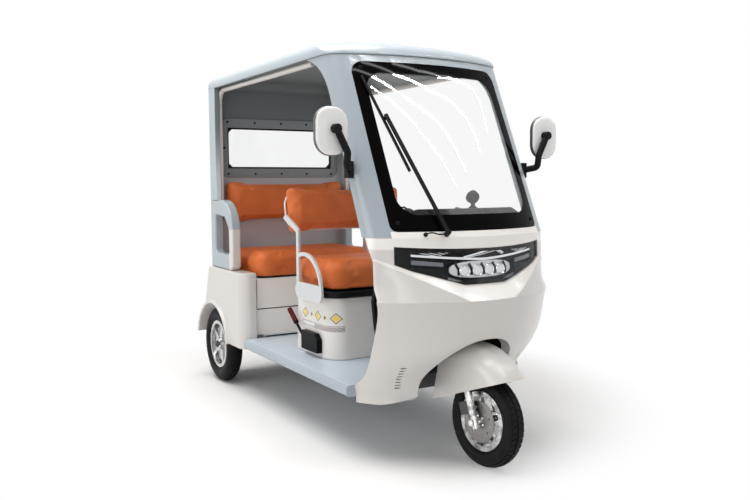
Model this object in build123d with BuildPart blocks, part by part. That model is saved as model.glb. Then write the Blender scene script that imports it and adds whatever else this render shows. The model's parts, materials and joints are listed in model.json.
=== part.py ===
from build123d import *
from collections import namedtuple
from math import atan2, cos, pi, radians, sin, sqrt
import os

# Three-wheeled passenger vehicle with a closed nose and an open-sided cab.
# Frame: +X forward, +Y left, +Z up, millimetres, origin on the ground under the middle of the vehicle.
# Heights are above the ground; stations along X are counted from the rear axle.

os.makedirs("parts", exist_ok=True)

# Wheels and axles
wheelbase = 1950.0
rear_axle_x = -941.617
front_axle_x = rear_axle_x + wheelbase
rear_track = 820.0
rear_tyre_radius = 218.0
rear_tyre_width = 92.0
rear_rim_radius = 138.0
front_tyre_radius = 190.0
front_tyre_width = 86.0
front_rim_radius = 122.0
rim_wall = 8.0
spoke_count = 5
running_gap = 0.3
bore_gap = 0.05

# Steering
rake = 22.0
fork_offset = 20.0
steer_rest = 5.0
leg_spread = 66.0
slider_radius = 16.0
slider_length = 175.0
fork_tube_radius = 12.5
crown_height = 352.0
crown_thickness = 22.0
stem_radius = 15.0
head_tube_radius = 27.0
head_tube_length = 160.0
bar_height = 862.0
bar_half_width = 290.0
bar_rise = 55.0
bar_sweep = 70.0
bar_tube_radius = 11.0
grip_radius = 16.0
grip_length = 115.0
front_axle_radius = 8.0
disc_radius = 85.0
disc_thickness = 4.0
front_hub_half = 38.0

# Front fender, a dome cut by a tilted plane
fender_radius = 310.0
fender_half_width = 95.0
fender_shoulder = 72.0
fender_wall = 4.0
fender_setback = 75.0
fender_lift = 32.8
fender_cut_tilt = 20.0
fender_cut_height = 106.0
fender_tail = 157.0
fender_tail_height = 43.0
fender_tail_lean = 12.0

# Cab shell
cab_half_width = 455.0
fairing_wall = 12.0
frame_wall = 30.0
roof_wall = 28.0
panel_wall = 15.0
waist_z = 942.0
roof_z = 1700.0
sill_back_x = rear_axle_x + 1300.0
frame_back_x = rear_axle_x + 1235.0

# Plan outlines of the nose from the bottom edge up to the roof line
Level = namedtuple("Level", "z nose half_width nose_radius corner_radius")
lower_levels = [
    Level(245.0, rear_axle_x + 1807.0, cab_half_width - 15.0, 700.0, 280.0),
    Level(350.0, rear_axle_x + 1825.0, cab_half_width - 5.0, 650.0, 240.0),
    Level(440.0, rear_axle_x + 1907.0, cab_half_width, 620.0, 190.0),
    Level(545.0, rear_axle_x + 1973.0, cab_half_width + 1.0, 600.0, 130.0),
    Level(692.0, rear_axle_x + 2002.0, cab_half_width + 2.0, 620.0, 95.0),
]
ledge_top = Level(744.0, rear_axle_x + 1948.0, cab_half_width + 1.0, 690.0, 85.0)
waist = Level(waist_z, rear_axle_x + 1932.0, cab_half_width - 8.0, 731.0, 76.0)
header = Level(roof_z, rear_axle_x + 1545.0, cab_half_width - 8.0, 1060.0, 76.0)

# Roof cap outlines: plan sizes shrink towards the crown
RoofLevel = namedtuple("RoofLevel", "z back front half_width bow corner")
roof_levels = [
    RoofLevel(roof_z, -82.0, 1552.0, cab_half_width, 1040.0, 84.0),
    RoofLevel(roof_z + 26.0, -82.0, 1538.0, cab_half_width - 1.0, 1000.0, 100.0),
    RoofLevel(roof_z + 50.0, -68.0, 1496.0, cab_half_width - 15.0, 920.0, 130.0),
    RoofLevel(roof_z + 70.0, -25.0, 1420.0, cab_half_width - 55.0, 840.0, 160.0),
    RoofLevel(roof_z + 85.0, 90.0, 1290.0, cab_half_width - 140.0, 760.0, 170.0),
]
rear_corner_radius = 48.0

# Door opening, side view
rail_end_x = rear_axle_x + 1180.0
pillar_bend_radius = 298.0
pillar_foot_x = rear_axle_x + 1719.0
pillar_lean = 24.2

# Windscreen and headlamp outlines, front view
screen_bottom_z = 966.0
screen_top_z = 1668.0
screen_half_bottom = cab_half_width - 81.0
screen_half_top = cab_half_width - 80.0
screen_top_corner = 55.0
screen_low_corner = 26.0
screen_thickness = 6.0
glazing_gap = 0.5
lamp_half_width = 370.0
lamp_top_z = 908.0
lamp_top_dip = 13.0
lamp_end_z = 838.0
lamp_shoulder_y = 308.0
lamp_shoulder_z = 812.0
lamp_bottom_y = 100.0
lamp_bottom_z = 752.0
lens_recess = 5.0
lens_thickness = 4.0
lamp_back_x = rear_axle_x + 1797.0
projector_count = 4
projector_pitch = 70.0
projector_radius = 26.0

# Wheel arch in the nose
arch_half_width = 212.0
arch_top_z = 528.0
arch_radius = 200.0
arch_flange = 10.0
arch_flange_depth = 55.0

# Vent slots beside the arch
vent_count = 8
vent_top_y = 306.0
vent_top_z = 412.0
vent_spread = -12.0
vent_fall = 96.0
vent_length = 22.0
vent_height = 5.0

# Floor, frame and rear body
floor_z = 320.0
floor_thickness = 50.0
floor_half_width = cab_half_width + 8.0
floor_front_x = rear_axle_x + 1606.0
rear_deck_z = 330.0
rail_y = rear_track / 2 - 140.0
rail_width = 40.0
rail_height = 46.0
well_radius = 242.0
well_inner_y = rear_track / 2 - 60.0
fender_face_y = rear_track / 2 + 60.0
fender_lip = 14.0
fender_inner_y = rear_track / 2 - 28.0
fender_top_z = 676.0
fender_front_x = rear_axle_x + 455.0
bench_front_x = rear_axle_x + 420.0
bench_top_z = 640.0
rear_wall_x = rear_axle_x - 82.0
rear_pillar_depth = 138.0
tail_back_x = rear_axle_x - 205.0
tail_wall = 14.0
tail_lamp_y = 280.0
tail_lamp_z = 345.0

# Seats
bench_half_width = fender_inner_y - 2.0
pedestal_back_x = rear_axle_x + 735.0
pedestal_front_x = rear_axle_x + 1190.0
driver_half_width = cab_half_width - 113.0
pedestal_half_width = driver_half_width - 30.0
pedestal_corner = 100.0
pedestal_height = 300.0
cushion_gap = 0.3


def steered(forward, left, up):
    """Direction in the vehicle of a vector given along the steered fork's own axes."""
    lean, turn = radians(rake), radians(steer_rest)
    ahead = forward * cos(turn) - left * sin(turn)
    return (ahead * cos(lean) - up * sin(lean), forward * sin(turn) + left * cos(turn),
            ahead * sin(lean) + up * cos(lean))


# The fork's own frame: Z up the steering axis, X ahead of the turned wheel
steering_foot = Vector(front_axle_x - fork_offset * cos(radians(rake)), 0.0,
                       front_tyre_radius - fork_offset * sin(radians(rake)))
steering_plane = Plane(origin=steering_foot, x_dir=steered(1, 0, 0), z_dir=steered(0, 0, 1))
head_plane = Plane(origin=steering_foot, x_dir=(cos(radians(rake)), 0, sin(radians(rake))),
                   z_dir=steered(0, 0, 1))

# The turned wheel leans a little, so the fork drops until the tread meets the ground
front_crown_radius = 0.56 * front_tyre_width
axle_slope = steered(0, 1, 0)[2]
tread_reach = (front_tyre_radius - front_crown_radius) * sqrt(1 - axle_slope**2) + front_crown_radius
fork_drop = (steering_foot.Z + fork_offset * steered(1, 0, 0)[2] - tread_reach) / cos(radians(rake))
front_centre = steering_plane.from_local_coords(Vector(fork_offset, 0, -fork_drop))

Wheel = namedtuple("Wheel", "name centre outward ahead tyre_radius tyre_width rim_radius hub_half bore")
wheels = [
    Wheel("rear_left", Vector(rear_axle_x, rear_track / 2, rear_tyre_radius), (0, 1, 0), (1, 0, 0),
          rear_tyre_radius, rear_tyre_width, rear_rim_radius, 34.0, 12.0),
    Wheel("rear_right", Vector(rear_axle_x, -rear_track / 2, rear_tyre_radius), (0, -1, 0), (1, 0, 0),
          rear_tyre_radius, rear_tyre_width, rear_rim_radius, 34.0, 12.0),
    Wheel("front", front_centre, steered(0, -1, 0), steered(1, 0, 0),
          front_tyre_radius, front_tyre_width, front_rim_radius, front_hub_half, front_axle_radius),
]


def wheel_section(wheel):
    """Plane through the axle: X along the axle outwards, Y out to the tread."""
    upward = Vector(*wheel.ahead).cross(Vector(*wheel.outward))
    return Plane(origin=wheel.centre, x_dir=wheel.outward, z_dir=Vector(*wheel.outward).cross(upward))


def wheel_face(wheel, along):
    """Plane square to the axle, at a distance outwards from the wheel's middle."""
    middle = Plane(origin=wheel.centre, x_dir=wheel.ahead, z_dir=wheel.outward)
    return middle.offset(along)


def wheel_axis(wheel):
    return Axis(wheel.centre, wheel.outward)


for wheel in wheels:
    half = wheel.tyre_width / 2
    rim_half = 0.36 * wheel.tyre_width
    bead = rim_half - rim_wall - 1
    seat = wheel.rim_radius - 11.5
    crown = 0.56 * wheel.tyre_width
    shoulder = 0.42 * wheel.tyre_width
    shoulder_r = wheel.tyre_radius - crown + sqrt(crown**2 - shoulder**2)
    wall_r = 0.5 * (wheel.rim_radius + wheel.tyre_radius)
    with BuildPart() as tyre:
        with BuildSketch(wheel_section(wheel)):
            with BuildLine():
                Line((-bead, seat), (bead, seat))
                Line((bead, seat), (bead, wheel.rim_radius + 2))
                Line((bead, wheel.rim_radius + 2), (rim_half, wheel.rim_radius + 4))
                ThreePointArc((rim_half, wheel.rim_radius + 4), (half, wall_r), (shoulder, shoulder_r))
                ThreePointArc((shoulder, shoulder_r), (0, wheel.tyre_radius), (-shoulder, shoulder_r))
                ThreePointArc((-shoulder, shoulder_r), (-half, wall_r), (-rim_half, wheel.rim_radius + 4))
                Line((-rim_half, wheel.rim_radius + 4), (-bead, wheel.rim_radius + 2))
                Line((-bead, wheel.rim_radius + 2), (-bead, seat))
            make_face()
        revolve(axis=wheel_axis(wheel))
    tyre.part.label = f"{wheel.name}_tyre"
    export_step(tyre.part, f"parts/{wheel.name}_tyre.step")

    well = wheel.rim_radius - 12
    inner = well - rim_wall
    hub_radius = 0.27 * wheel.rim_radius
    spoke_length = inner - hub_radius + rim_wall
    spoke_back = 6.0
    spoke_depth = 15.0
    with BuildPart() as rim:
        with BuildSketch(wheel_section(wheel)):
            with BuildLine():
                Polyline((-rim_half, inner), (rim_half, inner), (rim_half, wheel.rim_radius),
                         (rim_half - rim_wall + 2, wheel.rim_radius), (rim_half - rim_wall, well),
                         (rim_wall - rim_half, well), (rim_wall - rim_half - 2, wheel.rim_radius),
                         (-rim_half, wheel.rim_radius), close=True)
            make_face()
        revolve(axis=wheel_axis(wheel))
        with BuildSketch(wheel_face(wheel, -wheel.hub_half)):
            Circle(hub_radius)
        extrude(amount=2 * wheel.hub_half)
        with BuildSketch(wheel_face(wheel, spoke_back)):
            with PolarLocations(0, spoke_count):
                with Locations((0.5 * (hub_radius + inner), 0)):
                    Trapezoid(0.26 * wheel.rim_radius, spoke_length, 84, rotation=-90)
        extrude(amount=spoke_depth)
        with BuildSketch(wheel_face(wheel, -wheel.hub_half)):
            Circle(wheel.bore + bore_gap)
        extrude(amount=2 * wheel.hub_half, mode=Mode.SUBTRACT)
    rim.part.label = f"{wheel.name}_rim"
    export_step(rim.part, f"parts/{wheel.name}_rim.step")

# Brake disc on the right of the front wheel, bolted to the hub
front = wheels[2]
with BuildPart() as front_brake_disc:
    with BuildSketch(wheel_face(front, front_hub_half)):
        Circle(disc_radius)
        Circle(front_axle_radius + 4, mode=Mode.SUBTRACT)
        with PolarLocations(0.7 * disc_radius, 12):
            Circle(4.5, mode=Mode.SUBTRACT)
    extrude(amount=disc_thickness)
front_brake_disc.part.label = "front_brake_disc"
export_step(front_brake_disc.part, "parts/front_brake_disc.step")

# Front axle with the collars that space the hub from the fork
collar_start = front_hub_half + disc_thickness + running_gap
with BuildPart() as front_axle:
    with BuildSketch(wheel_face(front, -leg_spread - slider_radius - 10)):
        Circle(front_axle_radius)
    extrude(amount=2 * (leg_spread + slider_radius + 10))
    for start in (collar_start, -leg_spread + slider_radius):
        with BuildSketch(wheel_face(front, start)):
            Circle(front_axle_radius + 4)
        extrude(amount=leg_spread - slider_radius - collar_start)
    for start in (leg_spread + slider_radius, -leg_spread - slider_radius - 8):
        with BuildSketch(wheel_face(front, start)):
            RegularPolygon(front_axle_radius + 6, 6)
        extrude(amount=8)
front_axle.part.label = "front_axle"
export_step(front_axle.part, "parts/front_axle.step")

# Fork sliders with the axle lugs
slider_foot = -fork_drop - 26
with BuildPart() as fork_sliders:
    with BuildSketch(steering_plane.offset(slider_foot)):
        with Locations((fork_offset, leg_spread), (fork_offset, -leg_spread)):
            Circle(slider_radius)
    extrude(amount=slider_length)
    with BuildSketch(wheel_face(front, -leg_spread - slider_radius - 1)):
        Circle(front_axle_radius + bore_gap)
    extrude(amount=2 * (leg_spread + slider_radius + 1), mode=Mode.SUBTRACT)
    with BuildSketch(steering_plane.offset(slider_foot + slider_length - 60)):
        with Locations((fork_offset, leg_spread), (fork_offset, -leg_spread)):
            Circle(fork_tube_radius + bore_gap)
    extrude(amount=61, mode=Mode.SUBTRACT)
fork_sliders.part.label = "fork_sliders"
export_step(fork_sliders.part, "parts/fork_sliders.step")

# Fork tubes, crown and steering stem
tube_foot = slider_foot + slider_length - 60
head_foot = crown_height + crown_thickness + 6
with BuildPart() as fork_crown:
    with BuildSketch(steering_plane.offset(tube_foot)):
        with Locations((fork_offset, leg_spread), (fork_offset, -leg_spread)):
            Circle(fork_tube_radius)
    extrude(amount=crown_height + crown_thickness - tube_foot)
    with BuildSketch(steering_plane.offset(crown_height)):
        with Locations((fork_offset / 2, 0)):
            RectangleRounded(64, 2 * leg_spread + 44, 20)
    extrude(amount=crown_thickness)
    with BuildSketch(steering_plane.offset(crown_height)):
        Circle(stem_radius)
    extrude(amount=bar_height - crown_height)
    with BuildSketch(steering_plane.offset(head_foot + head_tube_length + 4)):
        Circle(head_tube_radius - 2)
    extrude(amount=14)
fork_crown.part.label = "fork_crown"
export_step(fork_crown.part, "parts/fork_crown.step")

# Front fender: a rounded wheel-like body, hollowed and cut off by a tilted plane
fender_middle = steering_plane.from_local_coords(Vector(fork_offset - fender_setback, 0, fender_lift))
fender_section = Plane(origin=fender_middle, x_dir=steered(0, 1, 0),
                       z_dir=Vector(*steered(0, 1, 0)).cross(Vector(0, 0, 1)))
fender_axis = Axis(fender_middle, steered(0, 1, 0))
with BuildPart() as front_fender:
    with BuildSketch(fender_section):
        RectangleRounded(2 * fender_half_width, 2 * fender_radius, fender_shoulder)
        with Locations((0, -fender_radius)):
            Rectangle(4 * fender_half_width, 2 * fender_radius, mode=Mode.SUBTRACT)
    revolve(axis=fender_axis)
    with BuildSketch(fender_section):
        RectangleRounded(2 * (fender_half_width - fender_wall), 2 * (fender_radius - fender_wall),
                         fender_shoulder - fender_wall)
        with Locations((0, -fender_radius)):
            Rectangle(4 * fender_half_width, 2 * fender_radius, mode=Mode.SUBTRACT)
    revolve(axis=fender_axis, mode=Mode.SUBTRACT)
    cut_ahead = Vector(*steered(1, 0, 0))
    cut_tilt = radians(fender_cut_tilt)
    flat_ahead = Vector(cut_ahead.X, cut_ahead.Y, 0).normalized()
    cut_normal = flat_ahead * -sin(cut_tilt) + Vector(0, 0, 1) * cos(cut_tilt)
    split(bisect_by=Plane(origin=fender_middle + Vector(0, 0, fender_cut_height), z_dir=cut_normal))
    tail_lean = radians(fender_tail_lean)
    tail_normal = flat_ahead * cos(tail_lean) - Vector(0, 0, 1) * sin(tail_lean)
    tail_foot = fender_middle - flat_ahead * fender_tail + Vector(0, 0, fender_tail_height)
    split(bisect_by=Plane(origin=tail_foot, z_dir=tail_normal))
    with BuildSketch(steering_plane):
        with Locations((fork_offset, leg_spread), (fork_offset, -leg_spread)):
            Circle(fork_tube_radius + 0.15)
    extrude(amount=crown_height + 40, mode=Mode.SUBTRACT)
front_fender.part.label = "front_fender"
export_step(front_fender.part, "parts/front_fender.step")

# Handlebar with its grips
bar_points = [
    (-bar_sweep, -bar_half_width, bar_rise), (-0.3 * bar_sweep, -0.45 * bar_half_width, bar_rise),
    (0, -0.2 * bar_half_width, 0), (0, 0.2 * bar_half_width, 0),
    (-0.3 * bar_sweep, 0.45 * bar_half_width, bar_rise), (-bar_sweep, bar_half_width, bar_rise),
]
bar_route = [steering_plane.from_local_coords(Vector(x, y, bar_height + bar_tube_radius + z))
             for x, y, z in bar_points]
with BuildPart() as handlebar:
    with BuildLine() as bar_line:
        FilletPolyline(*bar_route, radius=30)
    with BuildSketch(Plane(origin=bar_line.line @ 0, z_dir=bar_line.line % 0)):
        Circle(bar_tube_radius)
    sweep(path=bar_line.line)
handlebar.part.label = "handlebar"
export_step(handlebar.part, "parts/handlebar.step")

with BuildPart() as grips:
    for end, inward in ((bar_route[0], bar_route[1]), (bar_route[-1], bar_route[-2])):
        with BuildSketch(Plane(origin=end, z_dir=inward - end)):
            Circle(grip_radius)
            Circle(bar_tube_radius + bore_gap, mode=Mode.SUBTRACT)
        extrude(amount=grip_length)
grips.part.label = "grips"
export_step(grips.part, "parts/grips.step")

# Caliper beside the right fork slider, straddling the disc
caliper_x = fork_offset - slider_radius - 30
caliper_y = -front_hub_half - disc_thickness - 6
caliper_half_height = 26.0
caliper_z = 0.27 * front_rim_radius + 8 + caliper_half_height - fork_drop
with BuildPart() as brake_caliper:
    with BuildSketch(steering_plane.offset(caliper_z - caliper_half_height)):
        with Locations((caliper_x, caliper_y)):
            RectangleRounded(64, 32, 6)
    extrude(amount=2 * caliper_half_height)
    with BuildSketch(wheel_face(front, front_hub_half - 1.5)):
        Circle(disc_radius + 2)
    extrude(amount=disc_thickness + 3, mode=Mode.SUBTRACT)
    with BuildSketch(steering_plane.offset(caliper_z - 30)):
        with Locations((fork_offset, -leg_spread)):
            Circle(slider_radius + 0.2)
    extrude(amount=60, mode=Mode.SUBTRACT)
brake_caliper.part.label = "brake_caliper"
export_step(brake_caliper.part, "parts/brake_caliper.step")

# Chassis: two rails kicked up over the rear axle, cross members, neck and head tube
rail_rear_z = rear_deck_z - 30 - rail_height / 2
rail_front_z = floor_z - floor_thickness - rail_height / 2
rail_back_x = tail_back_x + tail_wall + 4
rail_front_x = rear_axle_x + 1500
kick_start_x = rear_axle_x + 290
kick_end_x = rear_axle_x + 430
neck_width = 60.0
cross_width = 40.0
tow_eye_x = rear_axle_x - 222.0
tow_eye_radius = 11.0
tow_eye_reach = 28.0
tow_eye_thickness = 12.0
with BuildPart() as chassis_frame:
    for side in (-1, 1):
        with BuildSketch(Plane.XZ.offset(-side * rail_y - rail_width / 2)):
            with BuildLine():
                half = rail_height / 2
                Polyline((rail_back_x, rail_rear_z + half), (kick_start_x, rail_rear_z + half),
                         (kick_end_x, rail_front_z + half), (rail_front_x, rail_front_z + half),
                         (rail_front_x, rail_front_z - half), (kick_end_x - 10, rail_front_z - half),
                         (kick_start_x - 10, rail_rear_z - half),
                         (rail_back_x, rail_rear_z - half), close=True)
            make_face()
        extrude(amount=rail_width)
    for x, z in ((rail_back_x + 24, rail_rear_z), (kick_end_x + 60, rail_front_z),
                 (rear_axle_x + 960, rail_front_z), (rail_front_x - 20, rail_front_z)):
        with Locations((x, 0, z)):
            Box(cross_width, 2 * rail_y, rail_height)
    with BuildSketch(Plane.XY.offset(rail_rear_z - rail_height / 2)):
        with Locations((0.5 * (tow_eye_x + rail_back_x + 24), 0)):
            Rectangle(rail_back_x + 24 - tow_eye_x, 2 * tow_eye_reach)
        with Locations((tow_eye_x, 0)):
            Circle(tow_eye_reach)
            Circle(tow_eye_radius, mode=Mode.SUBTRACT)
    extrude(amount=tow_eye_thickness)
chassis_frame.part.label = "chassis_frame"
export_step(chassis_frame.part, "parts/chassis_frame.step")

# Steering head: the neck rising from the front cross member, and the tube that carries the stem
neck_start = Vector(rail_front_x - 20, 0, rail_front_z)
neck_end = head_plane.from_local_coords(Vector(0, 0, head_foot + head_tube_length / 2))
with BuildPart() as steering_head:
    with BuildSketch(Plane(origin=neck_start, z_dir=neck_end - neck_start)):
        RectangleRounded(neck_width, neck_width, 12)
    extrude(amount=(neck_end - neck_start).length)
    with BuildSketch(head_plane.offset(head_foot)):
        Circle(head_tube_radius + 5)
    extrude(amount=head_tube_length)
    with BuildSketch(head_plane.offset(head_foot - 1)):
        Circle(stem_radius + running_gap)
    extrude(amount=head_tube_length + 2, mode=Mode.SUBTRACT)
    with Locations((rail_front_x - 20, 0, rail_front_z)):
        Box(cross_width + 2 * bore_gap, 2 * rail_y, rail_height + 2 * bore_gap, mode=Mode.SUBTRACT)
    split(bisect_by=Plane.XY.offset(rail_front_z + rail_height / 2 + bore_gap))
steering_head.part.label = "steering_head"
export_step(steering_head.part, "parts/steering_head.step")

# Rear axle beam with stub axles, the motor block hung on it, and the leaf springs
stub_end = rear_track / 2 + 34 + 16
with BuildPart() as rear_axle:
    with BuildSketch(Plane.XZ.offset(-well_inner_y + 6)):
        with Locations((rear_axle_x, rear_tyre_radius)):
            Circle(26)
    extrude(amount=2 * (well_inner_y - 6))
    with BuildSketch(Plane.XZ.offset(-stub_end)):
        with Locations((rear_axle_x, rear_tyre_radius)):
            Circle(12)
    extrude(amount=2 * stub_end)
    for side in (-1, 1):
        with BuildSketch(Plane.XZ.offset(side * (rear_track / 2 - 34 - running_gap))):
            with Locations((rear_axle_x, rear_tyre_radius)):
                Circle(22)
        extrude(amount=-side * 30)
        with BuildSketch(Plane.XZ.offset(side * (rear_track / 2 + 34 + running_gap))):
            with Locations((rear_axle_x, rear_tyre_radius)):
                RegularPolygon(20, 6)
        extrude(amount=side * 12)
rear_axle.part.label = "rear_axle"
export_step(rear_axle.part, "parts/rear_axle.step")

motor_radius = 84.0
with BuildPart() as drive_motor:
    with BuildSketch(Plane.XZ.offset(-105)):
        with Locations((rear_axle_x + 20, rear_tyre_radius - 20)):
            Circle(motor_radius)
        with Locations((rear_axle_x, rear_tyre_radius)):
            Circle(26 + bore_gap, mode=Mode.SUBTRACT)
    extrude(amount=210)
    fillet(drive_motor.edges().filter_by(GeomType.CIRCLE).group_by(SortBy.RADIUS)[-1], 14)
drive_motor.part.label = "drive_motor"
export_step(drive_motor.part, "parts/drive_motor.step")

spring_y = 230.0
spring_width = 44.0
leaf_thickness = 9.0
spring_seat_z = rear_tyre_radius - 26 - 6
Leaf = namedtuple("Leaf", "half_length rise")
leaves = [Leaf(190.0, 20.0), Leaf(140.0, 11.0), Leaf(90.0, 4.5)]
with BuildPart() as leaf_springs:
    for side in (-1, 1):
        for index, leaf in enumerate(leaves):
            top = spring_seat_z - index * (leaf_thickness - 0.8)
            ends = [(rear_axle_x - leaf.half_length, top + leaf.rise), (rear_axle_x, top),
                    (rear_axle_x + leaf.half_length, top + leaf.rise)]
            with BuildSketch(Plane.XZ.offset(-side * spring_y - spring_width / 2)):
                with BuildLine():
                    upper = ThreePointArc(*ends)
                    lower = ThreePointArc(*[(x, z - leaf_thickness) for x, z in ends])
                    Line(upper @ 0, lower @ 0)
                    Line(upper @ 1, lower @ 1)
                make_face()
            extrude(amount=spring_width)
        with Locations((rear_axle_x, side * spring_y, spring_seat_z + 3)):
            Box(70, spring_width, 8)
        for reach in (-leaves[0].half_length, leaves[0].half_length):
            hanger_low = spring_seat_z + leaves[0].rise - leaf_thickness
            hanger_high = rail_rear_z - rail_height / 2
            with Locations((rear_axle_x + reach, side * (spring_y + 20), (hanger_low + hanger_high) / 2)):
                Box(26, spring_width + 20, hanger_high - hanger_low)
    with BuildSketch(Plane.XZ.offset(-well_inner_y)):
        with Locations((rear_axle_x, rear_tyre_radius)):
            Circle(26 + bore_gap)
    extrude(amount=2 * well_inner_y, mode=Mode.SUBTRACT)
leaf_springs.part.label = "leaf_springs"
export_step(leaf_springs.part, "parts/leaf_springs.step")


def nose_outline(level, back_x, inset=0.0):
    """Plan outline at one height: straight back, flat sides, round corners and a bowed front."""
    nose = level.nose - inset
    side = level.half_width - inset
    bow = level.nose_radius - inset
    corner = level.corner_radius - inset
    bow_x = nose - bow
    corner_y = side - corner
    corner_x = bow_x + sqrt((bow - corner) ** 2 - corner_y**2)
    turn = atan2(corner_y, corner_x - bow_x)
    join = (bow_x + bow * cos(turn), bow * sin(turn))
    bend = (turn + pi / 2) / 2
    knee = (corner_x + corner * cos(bend), corner_y + corner * sin(bend))
    with BuildSketch(Plane.XY.offset(level.z)) as outline:
        with BuildLine():
            Line((back_x, -side), (corner_x, -side))
            ThreePointArc((corner_x, -side), (knee[0], -knee[1]), (join[0], -join[1]))
            ThreePointArc((join[0], -join[1]), (nose, 0), join)
            ThreePointArc(join, knee, (corner_x, side))
            Line((corner_x, side), (back_x, side))
            Line((back_x, side), (back_x, -side))
        make_face()
    return outline.sketch


def nose_body(back_x, inset, mode=Mode.ADD):
    """The whole nose below the waist: a smooth belly, the ledge under the headlamp and the lamp band."""
    loft([nose_outline(level, back_x, inset) for level in lower_levels], mode=mode)
    for pair in ((lower_levels[-1], ledge_top), (ledge_top, waist)):
        loft([nose_outline(level, back_x, inset) for level in pair], ruled=True, mode=mode)


def lamp_band(back_x, inset, mode):
    loft([nose_outline(level, back_x, inset) for level in (ledge_top, waist)], ruled=True, mode=mode)


def screen_body(back_x, inset, mode=Mode.ADD):
    """The raked front of the cab between the waist and the roof line."""
    loft([nose_outline(level, back_x, inset) for level in (waist, header)], ruled=True, mode=mode)


def lamp_outline(inset=0.0):
    """Headlamp outline seen from the front: a wide top, slanted ends and a short flat bottom."""
    plane = Plane(origin=(sill_back_x, 0, 0), x_dir=(0, 1, 0), z_dir=(1, 0, 0))
    half, shoulder, low = lamp_half_width - inset, lamp_shoulder_y - inset / 2, lamp_bottom_y - inset / 4
    top, end = lamp_top_z - inset, lamp_end_z + inset / 2
    with BuildSketch(plane) as outline:
        with BuildLine():
            Line((-half, end), (-half, top))
            ThreePointArc((-half, top), (0, top - lamp_top_dip), (half, top))
            Polyline((half, top), (half, end), (shoulder, lamp_shoulder_z + inset),
                     (low, lamp_bottom_z + inset), (-low, lamp_bottom_z + inset),
                     (-shoulder, lamp_shoulder_z + inset), (-half, end))
        make_face()
    return outline.sketch


def screen_outline(inset=0.0):
    plane = Plane(origin=(frame_back_x, 0, 0), x_dir=(0, 1, 0), z_dir=(1, 0, 0))
    low, high = screen_half_bottom - inset, screen_half_top - inset
    with BuildSketch(plane) as outline:
        with BuildLine():
            Polyline((-low, screen_bottom_z + inset), (low, screen_bottom_z + inset),
                     (high, screen_top_z - inset), (-high, screen_top_z - inset), close=True)
        make_face()
        fillet(outline.vertices().group_by(Axis.Y)[-1], screen_top_corner)
        fillet(outline.vertices().group_by(Axis.Y)[0], screen_low_corner)
    return outline.sketch


# Front fairing: hollow nose with its wheel arch, lamp opening, vents and swept-back door edge
door_knee = (rear_axle_x + 1816, 690)
toe_x = floor_front_x + running_gap


def arch_outline(grow=0.0):
    """Wheel arch seen from the front."""
    with BuildSketch(Plane(origin=(rear_axle_x + 1600, 0, 0), x_dir=(0, 1, 0), z_dir=(1, 0, 0))) as outline:
        with Locations((0, (arch_top_z + grow) / 2)):
            Rectangle(2 * (arch_half_width + grow), arch_top_z + grow)
        fillet(outline.vertices().group_by(Axis.Y)[-1], arch_radius + grow)
    return outline.sketch


with BuildPart() as nose_whole:
    nose_body(sill_back_x, 0)
with BuildPart() as arch_rim:
    extrude(arch_outline(arch_flange), amount=500)
    add(nose_whole.part, mode=Mode.INTERSECT)
    nose_body(sill_back_x - 1, arch_flange_depth, Mode.SUBTRACT)
with BuildPart() as front_fairing:
    add(nose_whole.part)
    nose_body(sill_back_x - 1, fairing_wall, Mode.SUBTRACT)
    add(arch_rim.part)
    with BuildSketch(Plane.XZ.offset(-cab_half_width - 20)):
        with BuildLine():
            Line((sill_back_x - 20, waist_z + 5), (rear_axle_x + 1738, waist_z + 5))
            ThreePointArc((rear_axle_x + 1738, waist_z + 5), (rear_axle_x + 1791, 825), door_knee)
            ThreePointArc(door_knee, (rear_axle_x + 1782, 538), (rear_axle_x + 1648, 348))
            Polyline((rear_axle_x + 1648, 348), (toe_x, 316), (toe_x, 240), (sill_back_x - 20, 240),
                     (sill_back_x - 20, waist_z + 5))
        make_face()
        with BuildLine():
            Line((rear_axle_x + 1670, 230), (rear_axle_x + 1670, 246))
            ThreePointArc((rear_axle_x + 1670, 246), (rear_axle_x + 1742, 260), (rear_axle_x + 1785, 304))
            Polyline((rear_axle_x + 1785, 304), (rear_axle_x + 1850, 304), (rear_axle_x + 1850, 230),
                     (rear_axle_x + 1670, 230))
        make_face()
    extrude(amount=2 * cab_half_width + 40, mode=Mode.SUBTRACT)
    extrude(arch_outline(), amount=500, mode=Mode.SUBTRACT)
    extrude(lamp_outline(-glazing_gap), amount=800, mode=Mode.SUBTRACT)
    with BuildSketch(Plane(origin=(rear_axle_x + 1600, 0, 0), x_dir=(0, 1, 0), z_dir=(1, 0, 0))):
        for row in range(vent_count):
            share = row / (vent_count - 1)
            vent_y = vent_top_y + vent_spread * share
            vent_z = vent_top_z - vent_fall * share
            with Locations((-vent_y, vent_z), (vent_y, vent_z)):
                Rectangle(vent_length, vent_height)
    extrude(amount=400, mode=Mode.SUBTRACT)
front_fairing.part.label = "front_fairing"
export_step(front_fairing.part, "parts/front_fairing.step")

# Headlamp: a dark tray with projectors behind a clear lens that follows the nose
tray_inset = lens_recess + lens_thickness + glazing_gap
with BuildPart() as headlamp_lens:
    extrude(lamp_outline(), amount=800)
    lamp_band(sill_back_x - 20, lens_recess, Mode.INTERSECT)
    lamp_band(sill_back_x - 20, lens_recess + lens_thickness, Mode.SUBTRACT)
headlamp_lens.part.label = "headlamp_lens"
export_step(headlamp_lens.part, "parts/headlamp_lens.step")

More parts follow.
